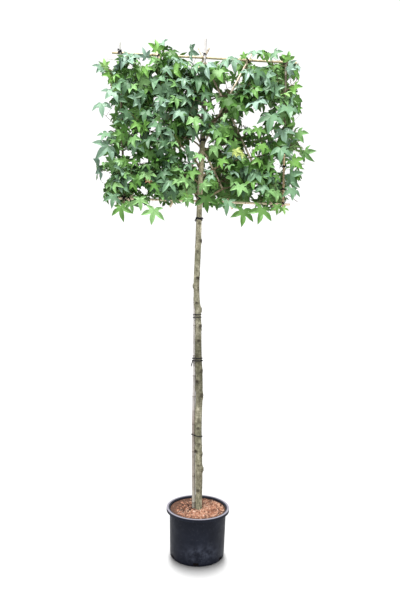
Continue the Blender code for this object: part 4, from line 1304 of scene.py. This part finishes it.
# leaves that lead the picture: where a blade's foot and tip are seen, by colour
leadingLeaves = {
    "paleBlue": (
        (128, 58, 134, 70), (146, 57, 143, 51), (160, 102, 166, 110), (248, 72, 246, 80),
        (289, 66, 295, 72), (292, 69, 294, 78), (256, 101, 254, 112), (99, 166, 95, 177),
        (120, 64, 114, 71), (206, 66, 206, 78), (129, 55, 130, 63)),
    "blue": (
        (162, 43, 165, 49), (137, 99, 134, 109), (113, 92, 106, 101), (102, 104, 102, 115),
        (190, 90, 188, 99), (184, 79, 183, 88), (205, 112, 206, 121), (266, 77, 267, 90),
        (292, 98, 292, 107), (108, 146, 100, 157), (172, 134, 171, 143), (180, 112, 173, 120),
        (101, 67, 98, 74), (191, 51, 197, 58), (183, 62, 182, 70), (226, 60, 226, 70),
        (233, 60, 235, 71), (256, 52, 252, 60), (283, 131, 283, 143), (120, 168, 121, 179)),
    "teal": (
        (158, 78, 153, 91), (158, 124, 160, 137), (124, 181, 128, 194), (113, 196, 112, 208),
        (275, 89, 279, 99), (287, 107, 289, 121), (271, 116, 268, 131), (281, 149, 279, 161),
        (290, 175, 293, 189), (292, 189, 292, 200), (262, 187, 262, 196), (190, 152, 187, 164),
        (107, 134, 102, 143), (228, 202, 225, 215), (118, 84, 121, 94), (134, 56, 135, 63),
        (274, 53, 276, 61), (161, 98, 161, 106)),
    "deepTeal": (
        (163, 172, 165, 182), (255, 71, 257, 85), (118, 99, 119, 110), (146, 112, 143, 123),
        (128, 112, 124, 122), (150, 138, 147, 149)),
    "mid": (
        (305, 152, 308, 163), (298, 133, 302, 143), (133, 138, 134, 148), (160, 193, 161, 203),
        (176, 98, 178, 108), (131, 203, 133, 213), (188, 199, 187, 207), (216, 130, 214, 141),
        (232, 178, 230, 188)),
    "light": (
        (194, 119, 198, 131), (154, 210, 151, 225), (140, 199, 141, 211), (276, 192, 277, 202),
        (185, 179, 186, 190), (203, 184, 206, 193), (199, 155, 200, 163), (214, 146, 216, 156),
        (240, 186, 238, 197)),
    "fresh": (
        (110, 75, 111, 85), (157, 50, 157, 39), (145, 68, 147, 77), (174, 66, 178, 78),
        (244, 57, 243, 51.5), (261, 53, 262, 60), (266, 59, 267.5, 52.5), (288, 60, 289, 52),
        (294, 87, 295, 97), (137, 123, 140, 132), (144, 125, 148, 133), (222, 160, 221, 169),
        (262, 145, 263, 154), (254, 150, 253, 159), (258, 159, 260, 168), (293, 161, 302, 169),
        (296, 174, 300, 182), (188, 196, 186, 206)),
    "green": (
        (217, 71, 222, 84), (255, 90, 256, 99), (192.5, 172, 193.5, 182), (208, 104, 209, 112),
        (258, 129, 259, 139), (298, 109, 299, 114), (121, 207, 122, 221), (243.5, 211, 242, 227),
        (262, 209, 257.5, 225), (277, 206, 277, 215), (121, 134, 118, 144), (126, 160, 124, 169)),
    "deep": (
        (170, 52, 179, 57), (245, 107, 245, 119), (150, 152, 150, 162), (206, 198, 207, 213),
        (216, 200, 217, 210), (268, 198, 268, 206), (228, 100, 229, 112), (236, 108, 235, 121),
        (250, 163, 250, 174), (259, 166, 260, 177)),
    "young": ((105, 66, 104, 59), (283, 208, 285, 215)),
    "turning": ((236, 150, 236, 158), (240, 153, 242, 160)),
    "red": ((148, 180, 150, 184.5),),
}

crown = {
    # the crown's outline on the panel, round from its top left corner
    "outline": (
        (-0.707, 3.164), (-0.670, 3.185), (-0.625, 3.175), (-0.607, 3.222), (-0.518, 3.224),
        (-0.384, 3.240), (-0.360, 3.306), (-0.321, 3.321), (-0.288, 3.291), (-0.230, 3.294),
        (-0.191, 3.271), (-0.165, 3.240), (-0.140, 3.286), (-0.062, 3.278), (0.016, 3.270),
        (0.043, 3.245), (0.095, 3.270), (0.161, 3.250), (0.219, 3.300), (0.279, 3.285), (0.338, 3.295),
        (0.398, 3.290), (0.451, 3.262), (0.497, 3.290), (0.550, 3.290), (0.585, 3.237), (0.622, 3.199),
        (0.624, 3.140), (0.600, 3.053), (0.640, 2.956), (0.640, 2.884), (0.600, 2.855), (0.638, 2.805),
        (0.655, 2.674), (0.698, 2.643), (0.699, 2.597), (0.667, 2.529), (0.648, 2.482), (0.655, 2.450),
        (0.609, 2.428), (0.605, 2.316), (0.552, 2.275), (0.506, 2.247), (0.500, 2.207), (0.421, 2.178),
        (0.369, 2.124), (0.303, 2.122), (0.238, 2.119), (0.197, 2.183), (0.118, 2.200), (0.013, 2.209),
        (-0.040, 2.240), (-0.118, 2.231), (-0.247, 2.245), (-0.265, 2.148), (-0.335, 2.107),
        (-0.374, 2.150), (-0.477, 2.192), (-0.514, 2.139), (-0.591, 2.156), (-0.612, 2.219),
        (-0.656, 2.230), (-0.653, 2.365), (-0.723, 2.382), (-0.725, 2.471), (-0.675, 2.505),
        (-0.637, 2.533), (-0.689, 2.575), (-0.672, 2.666), (-0.629, 2.738), (-0.630, 2.796),
        (-0.681, 2.832), (-0.689, 2.883), (-0.652, 2.949), (-0.655, 3.064), (-0.706, 3.087)),
    # gaps where the sky shows: place on the panel and half size
    "skyGaps": (
        (0.298, 2.833, 0.040, 0.040), (0.340, 2.795, 0.030, 0.022), (0.262, 2.868, 0.022, 0.022),
        (0.131, 3.040, 0.036, 0.018), (0.165, 3.020, 0.018, 0.016), (-0.510, 2.577, 0.032, 0.016),
        (0.476, 2.554, 0.026, 0.018), (0.478, 2.512, 0.024, 0.016), (0.366, 3.200, 0.040, 0.012),
        (-0.090, 3.196, 0.036, 0.014), (0.331, 2.330, 0.020, 0.026), (0.311, 2.263, 0.030, 0.013),
        (0.555, 3.096, 0.024, 0.020), (-0.397, 3.162, 0.026, 0.018), (-0.404, 2.526, 0.026, 0.016),
        (0.012, 2.514, 0.015, 0.022), (0.405, 2.911, 0.013, 0.024), (0.435, 2.751, 0.022, 0.014),
        (0.066, 2.873, 0.014, 0.024), (0.223, 3.089, 0.016, 0.024), (0.552, 2.500, 0.018, 0.013),
        (-0.343, 3.087, 0.017, 0.016), (-0.328, 2.928, 0.020, 0.016), (0.475, 2.937, 0.016, 0.014),
        (-0.063, 2.664, 0.013, 0.016), (-0.182, 2.606, 0.012, 0.020), (0.125, 3.139, 0.022, 0.014),
        (-0.633, 2.991, 0.012, 0.018), (-0.085, 2.623, 0.020, 0.009), (0.344, 2.412, 0.014, 0.012),
        (-0.488, 2.403, 0.010, 0.020), (0.110, 2.647, 0.014, 0.010), (0.052, 3.008, 0.010, 0.017),
        (-0.500, 3.130, 0.012, 0.014), (0.053, 2.927, 0.010, 0.014), (0.028, 2.697, 0.012, 0.010),
        (-0.641, 2.423, 0.039, 0.039), (-0.612, 2.861, 0.033, 0.029), (-0.615, 3.146, 0.033, 0.033),
        (0.259, 2.803, 0.033, 0.019), (0.297, 2.897, 0.019, 0.026), (0.340, 2.879, 0.023, 0.019),
        (0.554, 2.350, 0.018, 0.039), (-0.332, 2.274, 0.023, 0.018), (-0.384, 2.331, 0.023, 0.023),
        (-0.503, 2.519, 0.023, 0.018), (-0.663, 2.705, 0.026, 0.018), (-0.664, 2.624, 0.029, 0.019),
        (0.605, 2.593, 0.036, 0.049), (0.657, 2.681, 0.039, 0.033), (0.610, 2.843, 0.036, 0.036),
        (0.638, 2.785, 0.033, 0.023), (0.299, 2.632, 0.023, 0.019)),
    "gapShare": 0.64,           # blades round a gap leave it a little wider than it is kept
    "front": -0.150, "back": 0.188,
    "leadDepths": (-0.150, -0.105), "leadFront": -0.175,
    "leadRoll": 56,
    "hangingRoll": 0.35, "hangingHeight": 2.29,     # leaves that hang free below face the front
    "leadPitch": {"paleBlue": 34, "blue": 30, "teal": 26, "deepTeal": 20, "light": 22},
    "plainPitch": 18, "pitchPlay": 6,
    "leadStalk": 0.075, "leadRoom": 0.28,
    "twigBehind": (0, 0.025, 0.02),     # where a leading leaf looks for its twig
    # where the wood shows, as seen in the picture, and how far leaves in front keep off it
    "shownWood": (
        (251, 52, 231, 88), (221, 110, 214, 120), (214, 78, 221, 95), (232.5, 120.5, 241, 138),
        (245, 145, 250, 158), (207, 150, 229, 200), (286, 65, 285, 90), (284, 161, 283.7, 203),
        (112, 52, 158, 53.5), (181, 55.5, 201, 57), (207, 57.5, 225, 59), (246, 60, 292, 62),
        (229, 202, 287, 204), (116, 198, 130, 198), (201, 147, 200.5, 160), (200, 166, 199.5, 182),
        (199.8, 191, 199.5, 206), (184, 142, 189, 150)),
    "woodStep": 0.010, "woodHalf": 0.014,
    # where the crown is deepest in shade, painted there with darker greens: place on the panel and reach
    "shade": (
        (-0.33, 2.82, 0.20), (-0.13, 2.70, 0.14), (0.20, 2.93, 0.10), (0.33, 2.62, 0.09),
        (-0.30, 2.55, 0.12)),
    "stemRadii": (0.0036, 0.0017),
    "stemPoints": 7, "stemLead": 0.010,
    "twigSpacing": 0.034, "twigLengths": (0.050, 0.250), "twigRadii": (0.0022, 0.0011),
    "twigSpreads": (115, 40), "twigTurns": (40, 220, 320, 140),
    "twigMargin": 0.050, "twigTries": 5,
    "sideTwigs": (2, 4), "sideLengths": (0.035, 0.125), "sideRadii": (0.0012, 0.0008),
    "leafSpacing": 0.018, "leafTries": 10,
    # by row from the lowest, and by column
    "leavesPerSquareMetre": ((900, 1080, 1000, 720), (560, 960, 900, 380), (710, 1250, 1200, 830)),
    "depthWeight": 0.45,
    "fillFloor": 2.230,          # below it only the leading leaves hang
    "overlap": 0.040,           # how far sprays may reach over an inner edge into the next mass
    "edgePlay": 0.020, "levelPlay": 0.004,      # and over an outer one
    "twigShares": (0.05, 0.93), "leafShares": (0.18, 0.82),     # where they start and over what length
    "turnPlay": 30, "spreadPlay": 16,
    "twigStart": 0.006,
    "twigSag": ((-0.01, 0.01), (-0.01, 0.01), (-0.012, 0.004)), "sideSag": (-0.006, 0.004),
    "leafTurn": 137.5,
    "facing": 0.85, "shake": 0.70, "upwards": 0.60,     # how a blade looks out of the panel
    "backFrom": 0.05,           # leaves behind this depth look to the back
    "hang": 0.95, "hangPlay": 0.75,
    "newGreen": 0.6,            # chance that a twig's next leaf has another green
    "closest": 0.012,           # leaves nearer to each other than this are left out
}

eyePlace = cameraAxes()[-1]
eye = np.array(eyePlace)
outline = np.array(crown["outline"])


# where points are seen on the panel
def onPanel(spots):
    share = -eye[1] / (spots[:, 1] - eye[1])
    return np.column_stack([eye[axis] + (spots[:, axis] - eye[axis]) * share for axis in (0, 2)])


# do all the points lie inside the outline: a line from one to the side crosses it an odd number of times
def insideOutline(seen):
    x, z = seen[:, 0][:, None], seen[:, 1][:, None]
    a, b = outline, np.roll(outline, -1, axis=0)
    crosses = (a[:, 1] > z) != (b[:, 1] > z)
    rise = np.where(a[:, 1] == b[:, 1], 1, b[:, 1] - a[:, 1])
    left = x < a[:, 0] + (z - a[:, 1]) / rise * (b[:, 0] - a[:, 0])
    return ((crosses & left).sum(axis=1) % 2 == 1).all()


gaps = np.array(crown["skyGaps"]) * (1, 1, crown["gapShare"], crown["gapShare"])


# the points along the wood that shows, each like a small gap
def woodGaps():
    found = []
    for x0, y0, x1, y1 in crown["shownWood"]:
        start, end = seenAt(x0, y0, 0), seenAt(x1, y1, 0)
        count = max(2, round((end - start).length / crown["woodStep"]))
        for where in (start.lerp(end, t) for t in spaced(0, 1, count)):
            found.append((where.x, where.z, crown["woodHalf"], crown["woodHalf"]))
    return np.array(found)


# does a blade hide a gap: one of its points lies in it, or the gap's middle lies on the blade
def covers(seen, spots):
    near = (np.abs(spots[:, :2] - seen[0]) < 0.15).all(axis=1)
    if not near.any():
        return False
    x, z, wide, tall = spots[near].T
    inside = ((seen[:, 0:1] - x) / wide) ** 2 + ((seen[:, 1:2] - z) / tall) ** 2
    if (inside < 1).any():
        return True
    turns = []
    for first, second in ((0, 1), (1, 2), (2, 0)):
        p, q = seen[leafCorners[:, first]], seen[leafCorners[:, second]]
        wide, tall = q[:, 0:1] - p[:, 0:1], q[:, 1:2] - p[:, 1:2]
        turns.append(wide * (z - p[:, 1:2]) - tall * (x - p[:, 0:1]) > 0)
    return bool(((turns[0] == turns[1]) & (turns[1] == turns[2])).any())


# a leading leaf's blade stands where the picture shows it, tilted a little at its colour's pitch
def leadBlade(look, foot, tip, rng):
    depth = rng.uniform(*crown["leadDepths"])
    roll = rng.uniform(-crown["leadRoll"], crown["leadRoll"])
    play = rng.uniform(-crown["pitchPlay"], crown["pitchPlay"])
    pitch = math.radians(crown["leadPitch"].get(look, crown["plainPitch"]) + play)
    bends = lobeBends(rng)
    cup = rng.uniform(*leaf["cup"])
    kind = "broad"
    for attempt in range(4):
        base = seenAt(*foot, depth)
        flat = seenAt(*tip, depth) - base
        if attempt == 0 and base.z < crown["hangingHeight"]:
            roll *= crown["hangingRoll"]
            pitch *= crown["hangingRoll"]
            kind = "deep"
        size = flat.length / math.cos(pitch)
        tipWay = flat.normalized() * math.cos(pitch) - Vector((0, math.sin(pitch), 0))
        toEye = (Vector(eyePlace) - base).normalized()
        normal = (toEye - tipWay * toEye.dot(tipWay)).normalized()
        normal = Matrix.Rotation(math.radians(roll), 3, tipWay) @ normal
        spots = bladePoints(kind, base, tipWay, normal, size, cup, bends)
        if spots[:, 1].min() > crown["leadFront"]:
            break
        depth += crown["leadFront"] - spots[:, 1].min() + 0.003
    return {"base": base, "spots": spots, "normal": normal, "size": size,
            "middle": base + tipWay * size * 0.25, "seen": onPanel(spots).mean(axis=0), "look": look}


# the space that a bough's leaves may fill: its solid's cell, a little more where cells meet
def makeRoom(bough):
    row = boughs["rows"][bough["row"]]
    index = bough["column"]
    spread = crown["overlap"]
    return {
        "left": row["edges"][index] - (spread if index > 0 else crown["edgePlay"]),
        "right": row["edges"][index + 1] + (spread if index < 3 else crown["edgePlay"]),
        "floor": row["floors"][index] - (spread if bough["row"] > 0 else crown["levelPlay"]),
        "top": row["top"] + (spread if bough["row"] < 2 else crown["levelPlay"]),
    }


def insideRoom(spots, room):
    return (spots[:, 0].min() > room["left"] and spots[:, 0].max() < room["right"]
            and spots[:, 2].min() > room["floor"] and spots[:, 2].max() < room["top"]
            and spots[:, 1].min() > crown["front"] and spots[:, 1].max() < crown["back"])


def woodTree():
    points, faces = [], []
    for piece in bpy.context.scene.objects:
        if piece.name.startswith(("bark_", "bamboo_", "trunkBark")):
            count = len(points)
            points += [tuple(v.co) for v in piece.data.vertices]
            faces += [tuple(c + count for c in face.vertices) for face in piece.data.polygons]
    return BVHTree.FromPolygons(points, faces)


def touchesWood(spots, faces, tree):
    return bool(BVHTree.FromPolygons(spots.tolist(), faces).overlap(tree))


def stemPath(start, heading, goal):
    first = start + heading * crown["stemLead"]
    bend = first + heading * (goal - first).length * 0.5
    return [start] + softBend(first, bend, goal, spaced(0, 1, crown["stemPoints"]))


def roomAhead(point, way, room):
    walls = [(crown["back"] - point.y, way.y), (point.y - crown["front"], -way.y),
             (point.x - room["left"], -way.x), (room["right"] - point.x, way.x),
             (point.z - room["floor"], -way.z), (room["top"] - point.z, way.z)]
    return min(distance / speed for distance, speed in walls if speed > 0.0001)


def clearLine(start, end, tree):
    way = end - start
    hit = tree.ray_cast(start + way.normalized() * crown["twigStart"], way.normalized(), way.length)
    return hit[0] is None


def pointAlong(points, distance):
    for a, b in zip(points, points[1:]):
        length = (b - a).length
        if distance <= length:
            return a.lerp(b, distance / length), (b - a).normalized()
        distance -= length
    return points[-1].copy(), (points[-1] - points[-2]).normalized()


# a twig with a soft bend, drawn through five points
def bentTwig(start, end, sag):
    return softBend(start, start.lerp(end, 0.5) + Vector(sag), end, spaced(0, 1, 5))


# a twig remembers what it grows on and how far it is in use
def newTwig(points, radii, parent=None, share=0.0):
    return {"points": points, "radii": radii, "parent": parent, "share": share, "used": 0.0}


# side twigs leave the stem in turn: up, down, to the front and to the back
def growTwigs(stem, room, tree, rng):
    points = stem["points"]
    total = lengthOf(points)
    count = max(7, round(total / crown["twigSpacing"]))
    first, rest = crown["twigShares"]
    twigs = []
    for index in range(count + 1):
        share = first + rest * index / count
        start, along = pointAlong(points, total * share)
        outward = along.cross(Vector((0, 1, 0))).normalized()
        if outward.z < 0:
            outward = -outward
        for attempt in range(crown["twigTries"]):
            play = rng.uniform(-crown["turnPlay"], crown["turnPlay"]) * (1 + 0.3 * attempt)
            turn = crown["twigTurns"][index % 4] + play
            sideways = Matrix.Rotation(math.radians(turn), 3, along) @ outward
            play = rng.uniform(-crown["spreadPlay"], crown["spreadPlay"])
            spread = math.radians(mix(crown["twigSpreads"], index / count) + play)
            way = (along * math.cos(spread) + sideways * math.sin(spread)).normalized()
            shortest, longest = crown["twigLengths"]
            length = min(max(roomAhead(start, way, room) - crown["twigMargin"], shortest), longest)
            length *= rng.uniform(0.7, 1) * (1 - 0.08 * attempt)
            end = start + way * length
            if not insideOutline(onPanel(np.array([tuple(end)]))) or not clearLine(start, end, tree):
                continue
            sag = [rng.uniform(*ends) for ends in crown["twigSag"]]
            twig = newTwig(bentTwig(start, end, sag), crown["twigRadii"], stem, share)
            twigs.append(twig)
            twigs += growSideTwigs(twig, room, tree, rng)
            break
    return twigs


def growSideTwigs(twig, room, tree, rng):
    length = lengthOf(twig["points"])
    found = []
    for number in range(rng.randint(*crown["sideTwigs"])):
        share = rng.uniform(0.3, 0.9)
        foot, ahead = pointAlong(twig["points"], length * share)
        turned = Matrix.Rotation(rng.uniform(0, math.tau), 3, ahead) @ ahead.orthogonal().normalized()
        branch = (ahead * 0.7 + turned).normalized()
        reach = min(rng.uniform(*crown["sideLengths"]), max(0.03, roomAhead(foot, branch, room) - 0.04))
        end = foot + branch * reach
        if clearLine(foot, end, tree) and insideOutline(onPanel(np.array([tuple(end)]))):
            points = bentTwig(foot, end, (0, 0, rng.uniform(*crown["sideSag"])))
            found.append(newTwig(points, crown["sideRadii"], twig, share))
    return found


# a twig is drawn as far as it bears something
def drawTwig(twig):
    total = lengthOf(twig["points"]) * min(1, twig["used"])
    run = [pointAlong(twig["points"], total * t)[0] for t in spaced(0, 1, 5)]
    addRun(twigRuns, run, [mix(twig["radii"], t) for t in spaced(0, 1, 5)], 5)


# blades look out of the panel on their own side, a little upwards, and hang at the tip
def bladeWays(stalk, where, room, rng):
    front = where.y < crown["backFrom"]
    facing = Vector((0, -crown["facing"] if front else crown["facing"], 0))
    outer = 0.5 * (where.x - (room["left"] + room["right"]) / 2) / (room["right"] - room["left"])
    shake = Vector([rng.uniform(-crown["shake"], crown["shake"]) for axis in range(3)])
    normal = (facing + Vector((outer, 0, crown["upwards"])) + shake).normalized()
    normal = (normal - stalk * (normal.dot(stalk) - 0.25)).normalized()
    aside = rng.uniform(-crown["hangPlay"], crown["hangPlay"])
    hang = stalk * 0.7 + Vector((aside, 0, -crown["hang"]))
    tipWay = (hang - normal * hang.dot(normal)).normalized()
    return tipWay, normal


# would a leaf hang in front of a leading one
def beforeLead(seen, middle, size):
    apart = np.linalg.norm(leadSeen - seen, axis=1)
    return ((apart < leadReach + size * 0.4) & (middle.y < leadDepth + 0.012)).any()


# places where a leaf could hang: on its twig, in its room, clear of gaps, wood and leading leaves
def leafCandidates(twigs, room, tree, rng):
    found = []
    first, rest = crown["leafShares"]
    for twig in twigs:
        total = lengthOf(twig["points"])
        count = max(2, round(total / crown["leafSpacing"]))
        for index in range(count + 1):
            share = first + rest * index / count
            foot, way = pointAlong(twig["points"], total * share)
            side = way.orthogonal().normalized()
            for attempt in range(crown["leafTries"]):
                play = rng.uniform(-crown["turnPlay"], crown["turnPlay"])
                azimuth = math.radians(crown["leafTurn"] * (index + attempt) + play)
                outward = Matrix.Rotation(azimuth, 3, way) @ side
                stalk = (way * 0.6 + outward).normalized()
                base = foot + stalk * rng.uniform(*leaf["stalk"])
                tipWay, normal = bladeWays(stalk, base, room, rng)
                size = rng.uniform(*leaf["sizes"])
                cup = rng.uniform(*leaf["cup"])
                bends = lobeBends(rng)
                kind = rng.choice(list(leaf["kinds"]))
                spots = bladePoints(kind, base, tipWay, normal, size, cup, bends)
                if not insideRoom(spots, room):
                    continue
                seen = onPanel(spots)
                low = seen[:, 1].min() < crown["fillFloor"]
                if low or not insideOutline(seen) or covers(seen, gaps):
                    continue
                middle = base + tipWay * size * 0.25
                if middle.y < crown["backFrom"] and covers(seen, shownWood):
                    continue
                if beforeLead(seen.mean(axis=0), middle, size):
                    continue
                if not touchesWood(spots, leafFaces, tree):
                    found.append({"foot": foot, "base": base, "spots": spots, "normal": normal,
                                  "size": size, "twig": twig, "share": share, "middle": middle,
                                  "seen": seen.mean(axis=0)})
    return found


# a leaf's place for spreading, where depth counts less
def weighed(one):
    return np.array((one["seen"][0], one["middle"].y * crown["depthWeight"], one["seen"][1]))


# leaves spread evenly: each next one is the place farthest from those taken
def spreadLeaves(candidates, wanted, taken):
    middles = np.array([weighed(one) for one in candidates])
    nearest = np.full(len(candidates), 1.0)
    for other in taken:
        nearest = np.minimum(nearest, np.linalg.norm(middles - other, axis=1))
    chosen = []
    while len(chosen) < wanted and len(candidates) > len(chosen):
        best = int(nearest.argmax())
        if nearest[best] < crown["closest"]:
            break
        chosen.append(candidates[best])
        taken.append(middles[best])
        nearest = np.minimum(nearest, np.linalg.norm(middles - middles[best], axis=1))
        nearest[best] = -1
    return chosen


# which green a leaf has: by its height, its depth, how far it looks up and the crown's shade, with light
# and shade painted in: pale blue sheen on lit leaves that look up, darker greens where the crown is in
# shade, and bright yellow-greens, new growth and painted light shining through, more where it is lit
def sprayLook(one, rng):
    where, skyward = one["middle"], max(0.0, one["normal"].z)
    height = (where.z - 2.1) / 1.2          # 0 at the foot of the crown, 1 at its top
    dark = sum(math.exp(-((where.x - x) ** 2 + (where.z - z) ** 2) / reach ** 2)
               for x, z, reach in crown["shade"])
    lit = max(0.0, 1 - dark)
    shares = {
        "paleBlue": 9 * height * skyward * lit, "blue": 20 * skyward * (0.3 + height) * lit,
        "teal": 14 + 10 * height, "deepTeal": 13 + 12 * dark, "light": 12 * lit, "mid": 16,
        "green": 14, "grass": 14, "deep": 12 + 12 * dark,
        "fresh": 10 * lit, "young": 3 * lit, "turning": 0.1, "red": 0.05,
    }
    # leaves at the back of the crown get darker greens: painted shade
    if where.y > 0.03:
        shares.update(paleBlue=0, blue=2, teal=6, deep=34, grass=30, fresh=12)
    if where.z < 2.24:
        shares.update(paleBlue=0, blue=4, teal=8, deepTeal=0, light=24, mid=14, green=30, deep=3, fresh=22)
    return rng.choices(list(shares), list(shares.values()))[0]


greens = {name: Gathered() for name in leafLooks}
undersides = Gathered()
veins = Gathered()
stalks = Gathered()
twigRuns = Gathered()


def addBlade(chosen, look):
    spots, normal = chosen["spots"], np.array(chosen["normal"])
    greens[look].add(spots, leafFaces)
    undersides.add(spots - normal * leaf["thickness"], [tuple(reversed(face)) for face in leafFaces])
    if look in leaf["plainLooks"]:
        return
    lift = normal * leaf["veinLift"]
    for tipIndex, middleIndex in zip(leafTips, leafMiddles):
        tip, middle = spots[tipIndex], spots[middleIndex]
        side = np.cross(normal, tip - spots[0])
        side *= chosen["size"] * leaf["veinWidth"] / np.linalg.norm(side)
        thin = side * leaf["veinTaper"]
        run = [spots[0] - side, spots[0] + side, middle - thin, middle + thin, tip]
        veins.add([p + lift for p in run], [(0, 1, 3, 2), (2, 3, 4)])


def addStalk(chosen):
    foot, base = chosen["foot"], chosen["base"]
    sag = Vector((0, 0, leaf["stalkSag"] * (base - foot).length))
    run = softBend(foot, foot.lerp(base, 0.5) + sag, base, leaf["stalkShares"])
    addRun(stalks, run, leaf["stalkRadii"], 4)


def growWood(bough, tree, rng):
    room = makeRoom(bough)
    points = bough["points"]
    heading = (points[-1] - points[-2]).normalized()
    start = points[-1] - heading * 0.004
    side = bough["side"]
    row = boughs["rows"][bough["row"]]
    index = bough["column"]
    farWall = row["edges"][index] if side < 0 else row["edges"][index + 1]
    goal = Vector((farWall - side * 0.07, -0.004, (row["floors"][index] + row["top"]) / 2))
    if not bough["outer"]:
        goal.z = start.z + 0.05
    path = stemPath(start, heading, goal)
    ends = (bough["radii"][1], crown["stemRadii"][1])
    addRun(twigRuns, path, [mix(ends, t) for t in spaced(0, 1, len(path))], 7)
    stem = newTwig(path, crown["stemRadii"])
    return [stem] + growTwigs(stem, room, tree, rng), room


# a leading leaf hangs by a stalk from the nearest twig, and a far one has a side twig of its own
def hangLead(lead, woodPlaces, places):
    base = lead["base"]
    place, index, far = woodPlaces.find(base + Vector(crown["twigBehind"]))
    twig, share = places[index][1:]
    twig["used"] = max(twig["used"], share)
    way = (base - place).normalized()
    if far > crown["leadStalk"]:
        end = base - way * crown["leadStalk"] * 0.8
        own = newTwig(bentTwig(place, end, (0, 0, 0.008)), crown["sideRadii"])
        own["used"] = 1
        drawTwig(own)
        place = end
    lead["foot"] = place
    addBlade(lead, lead["look"])
    addStalk(lead)


tree = woodTree()
leadRng = random.Random(77)
leads = [leadBlade(look, place[:2], place[2:], leadRng)
         for look, places in leadingLeaves.items() for place in places]
leadSeen = np.array([lead["seen"] for lead in leads])
leadReach = np.array([lead["size"] * crown["leadRoom"] for lead in leads])
leadDepth = np.array([lead["middle"].y for lead in leads])
shownWood = woodGaps()


def growCrown():
    wood = [growWood(bough, tree, random.Random(401 + number)) for number, bough in enumerate(boughSet)]
    places = []
    for twigs, room in wood:
        for twig in twigs:
            total = lengthOf(twig["points"])
            places += [(pointAlong(twig["points"], total * share)[0], twig, share)
                       for share in (0.4, 0.6, 0.8, 1)]
    woodPlaces = KDTree(len(places))
    for index, (place, twig, share) in enumerate(places):
        woodPlaces.insert(place, index)
    woodPlaces.balance()
    for lead in leads:
        hangLead(lead, woodPlaces, places)
    total = len(leads)
    taken = [weighed(lead) for lead in leads]
    for number, (bough, (twigs, room)) in enumerate(zip(boughSet, wood)):
        rng = random.Random(801 + number)
        row = boughs["rows"][bough["row"]]
        index = bough["column"]
        candidates = leafCandidates(twigs, room, tree, rng)
        area = (row["edges"][index + 1] - row["edges"][index]) * (row["top"] - row["floors"][index])
        wanted = round(crown["leavesPerSquareMetre"][bough["row"]][index] * area)
        chosen = spreadLeaves(candidates, wanted, taken)
        for one in chosen:
            twig = one["twig"]
            twig["used"] = max(twig["used"], one["share"])
            if "look" not in twig or rng.random() < crown["newGreen"]:
                twig["look"] = sprayLook(one, rng)
            addBlade(one, twig["look"])
            addStalk(one)
        total += len(chosen)
        print(" ", bough["name"], len(twigs), "twigs", len(candidates), "places", len(chosen), "leaves")
    for twigs, room in wood:
        for twig in reversed(twigs):
            if twig["used"] and twig["parent"]:
                twig["parent"]["used"] = max(twig["parent"]["used"], twig["share"])
        for twig in twigs[1:]:
            if twig["used"]:
                drawTwig(twig)
    return total


leafCount = growCrown()
masses = ["foliage_" + bough["name"] for bough in boughSet]
for name, gathered in greens.items():
    if not gathered.count:
        continue
    piece = gathered.build("leaves_" + name, [newLook("leaf_" + name, leafLooks[name], 0.45, 0.22)])
    selectOnly(piece)
    bpy.ops.object.shade_smooth_by_angle(angle=math.radians(24))
    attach(piece, "root")
    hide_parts(*masses)
for name, gathered in zip(fineLooks, (undersides, veins, stalks, twigRuns)):
    piece = gathered.build(name, [newLook(name + "Look", *fineLooks[name], 0.2)])
    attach(piece, "root")
    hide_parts(*masses)
print("crown grown with", leafCount, "leaves")
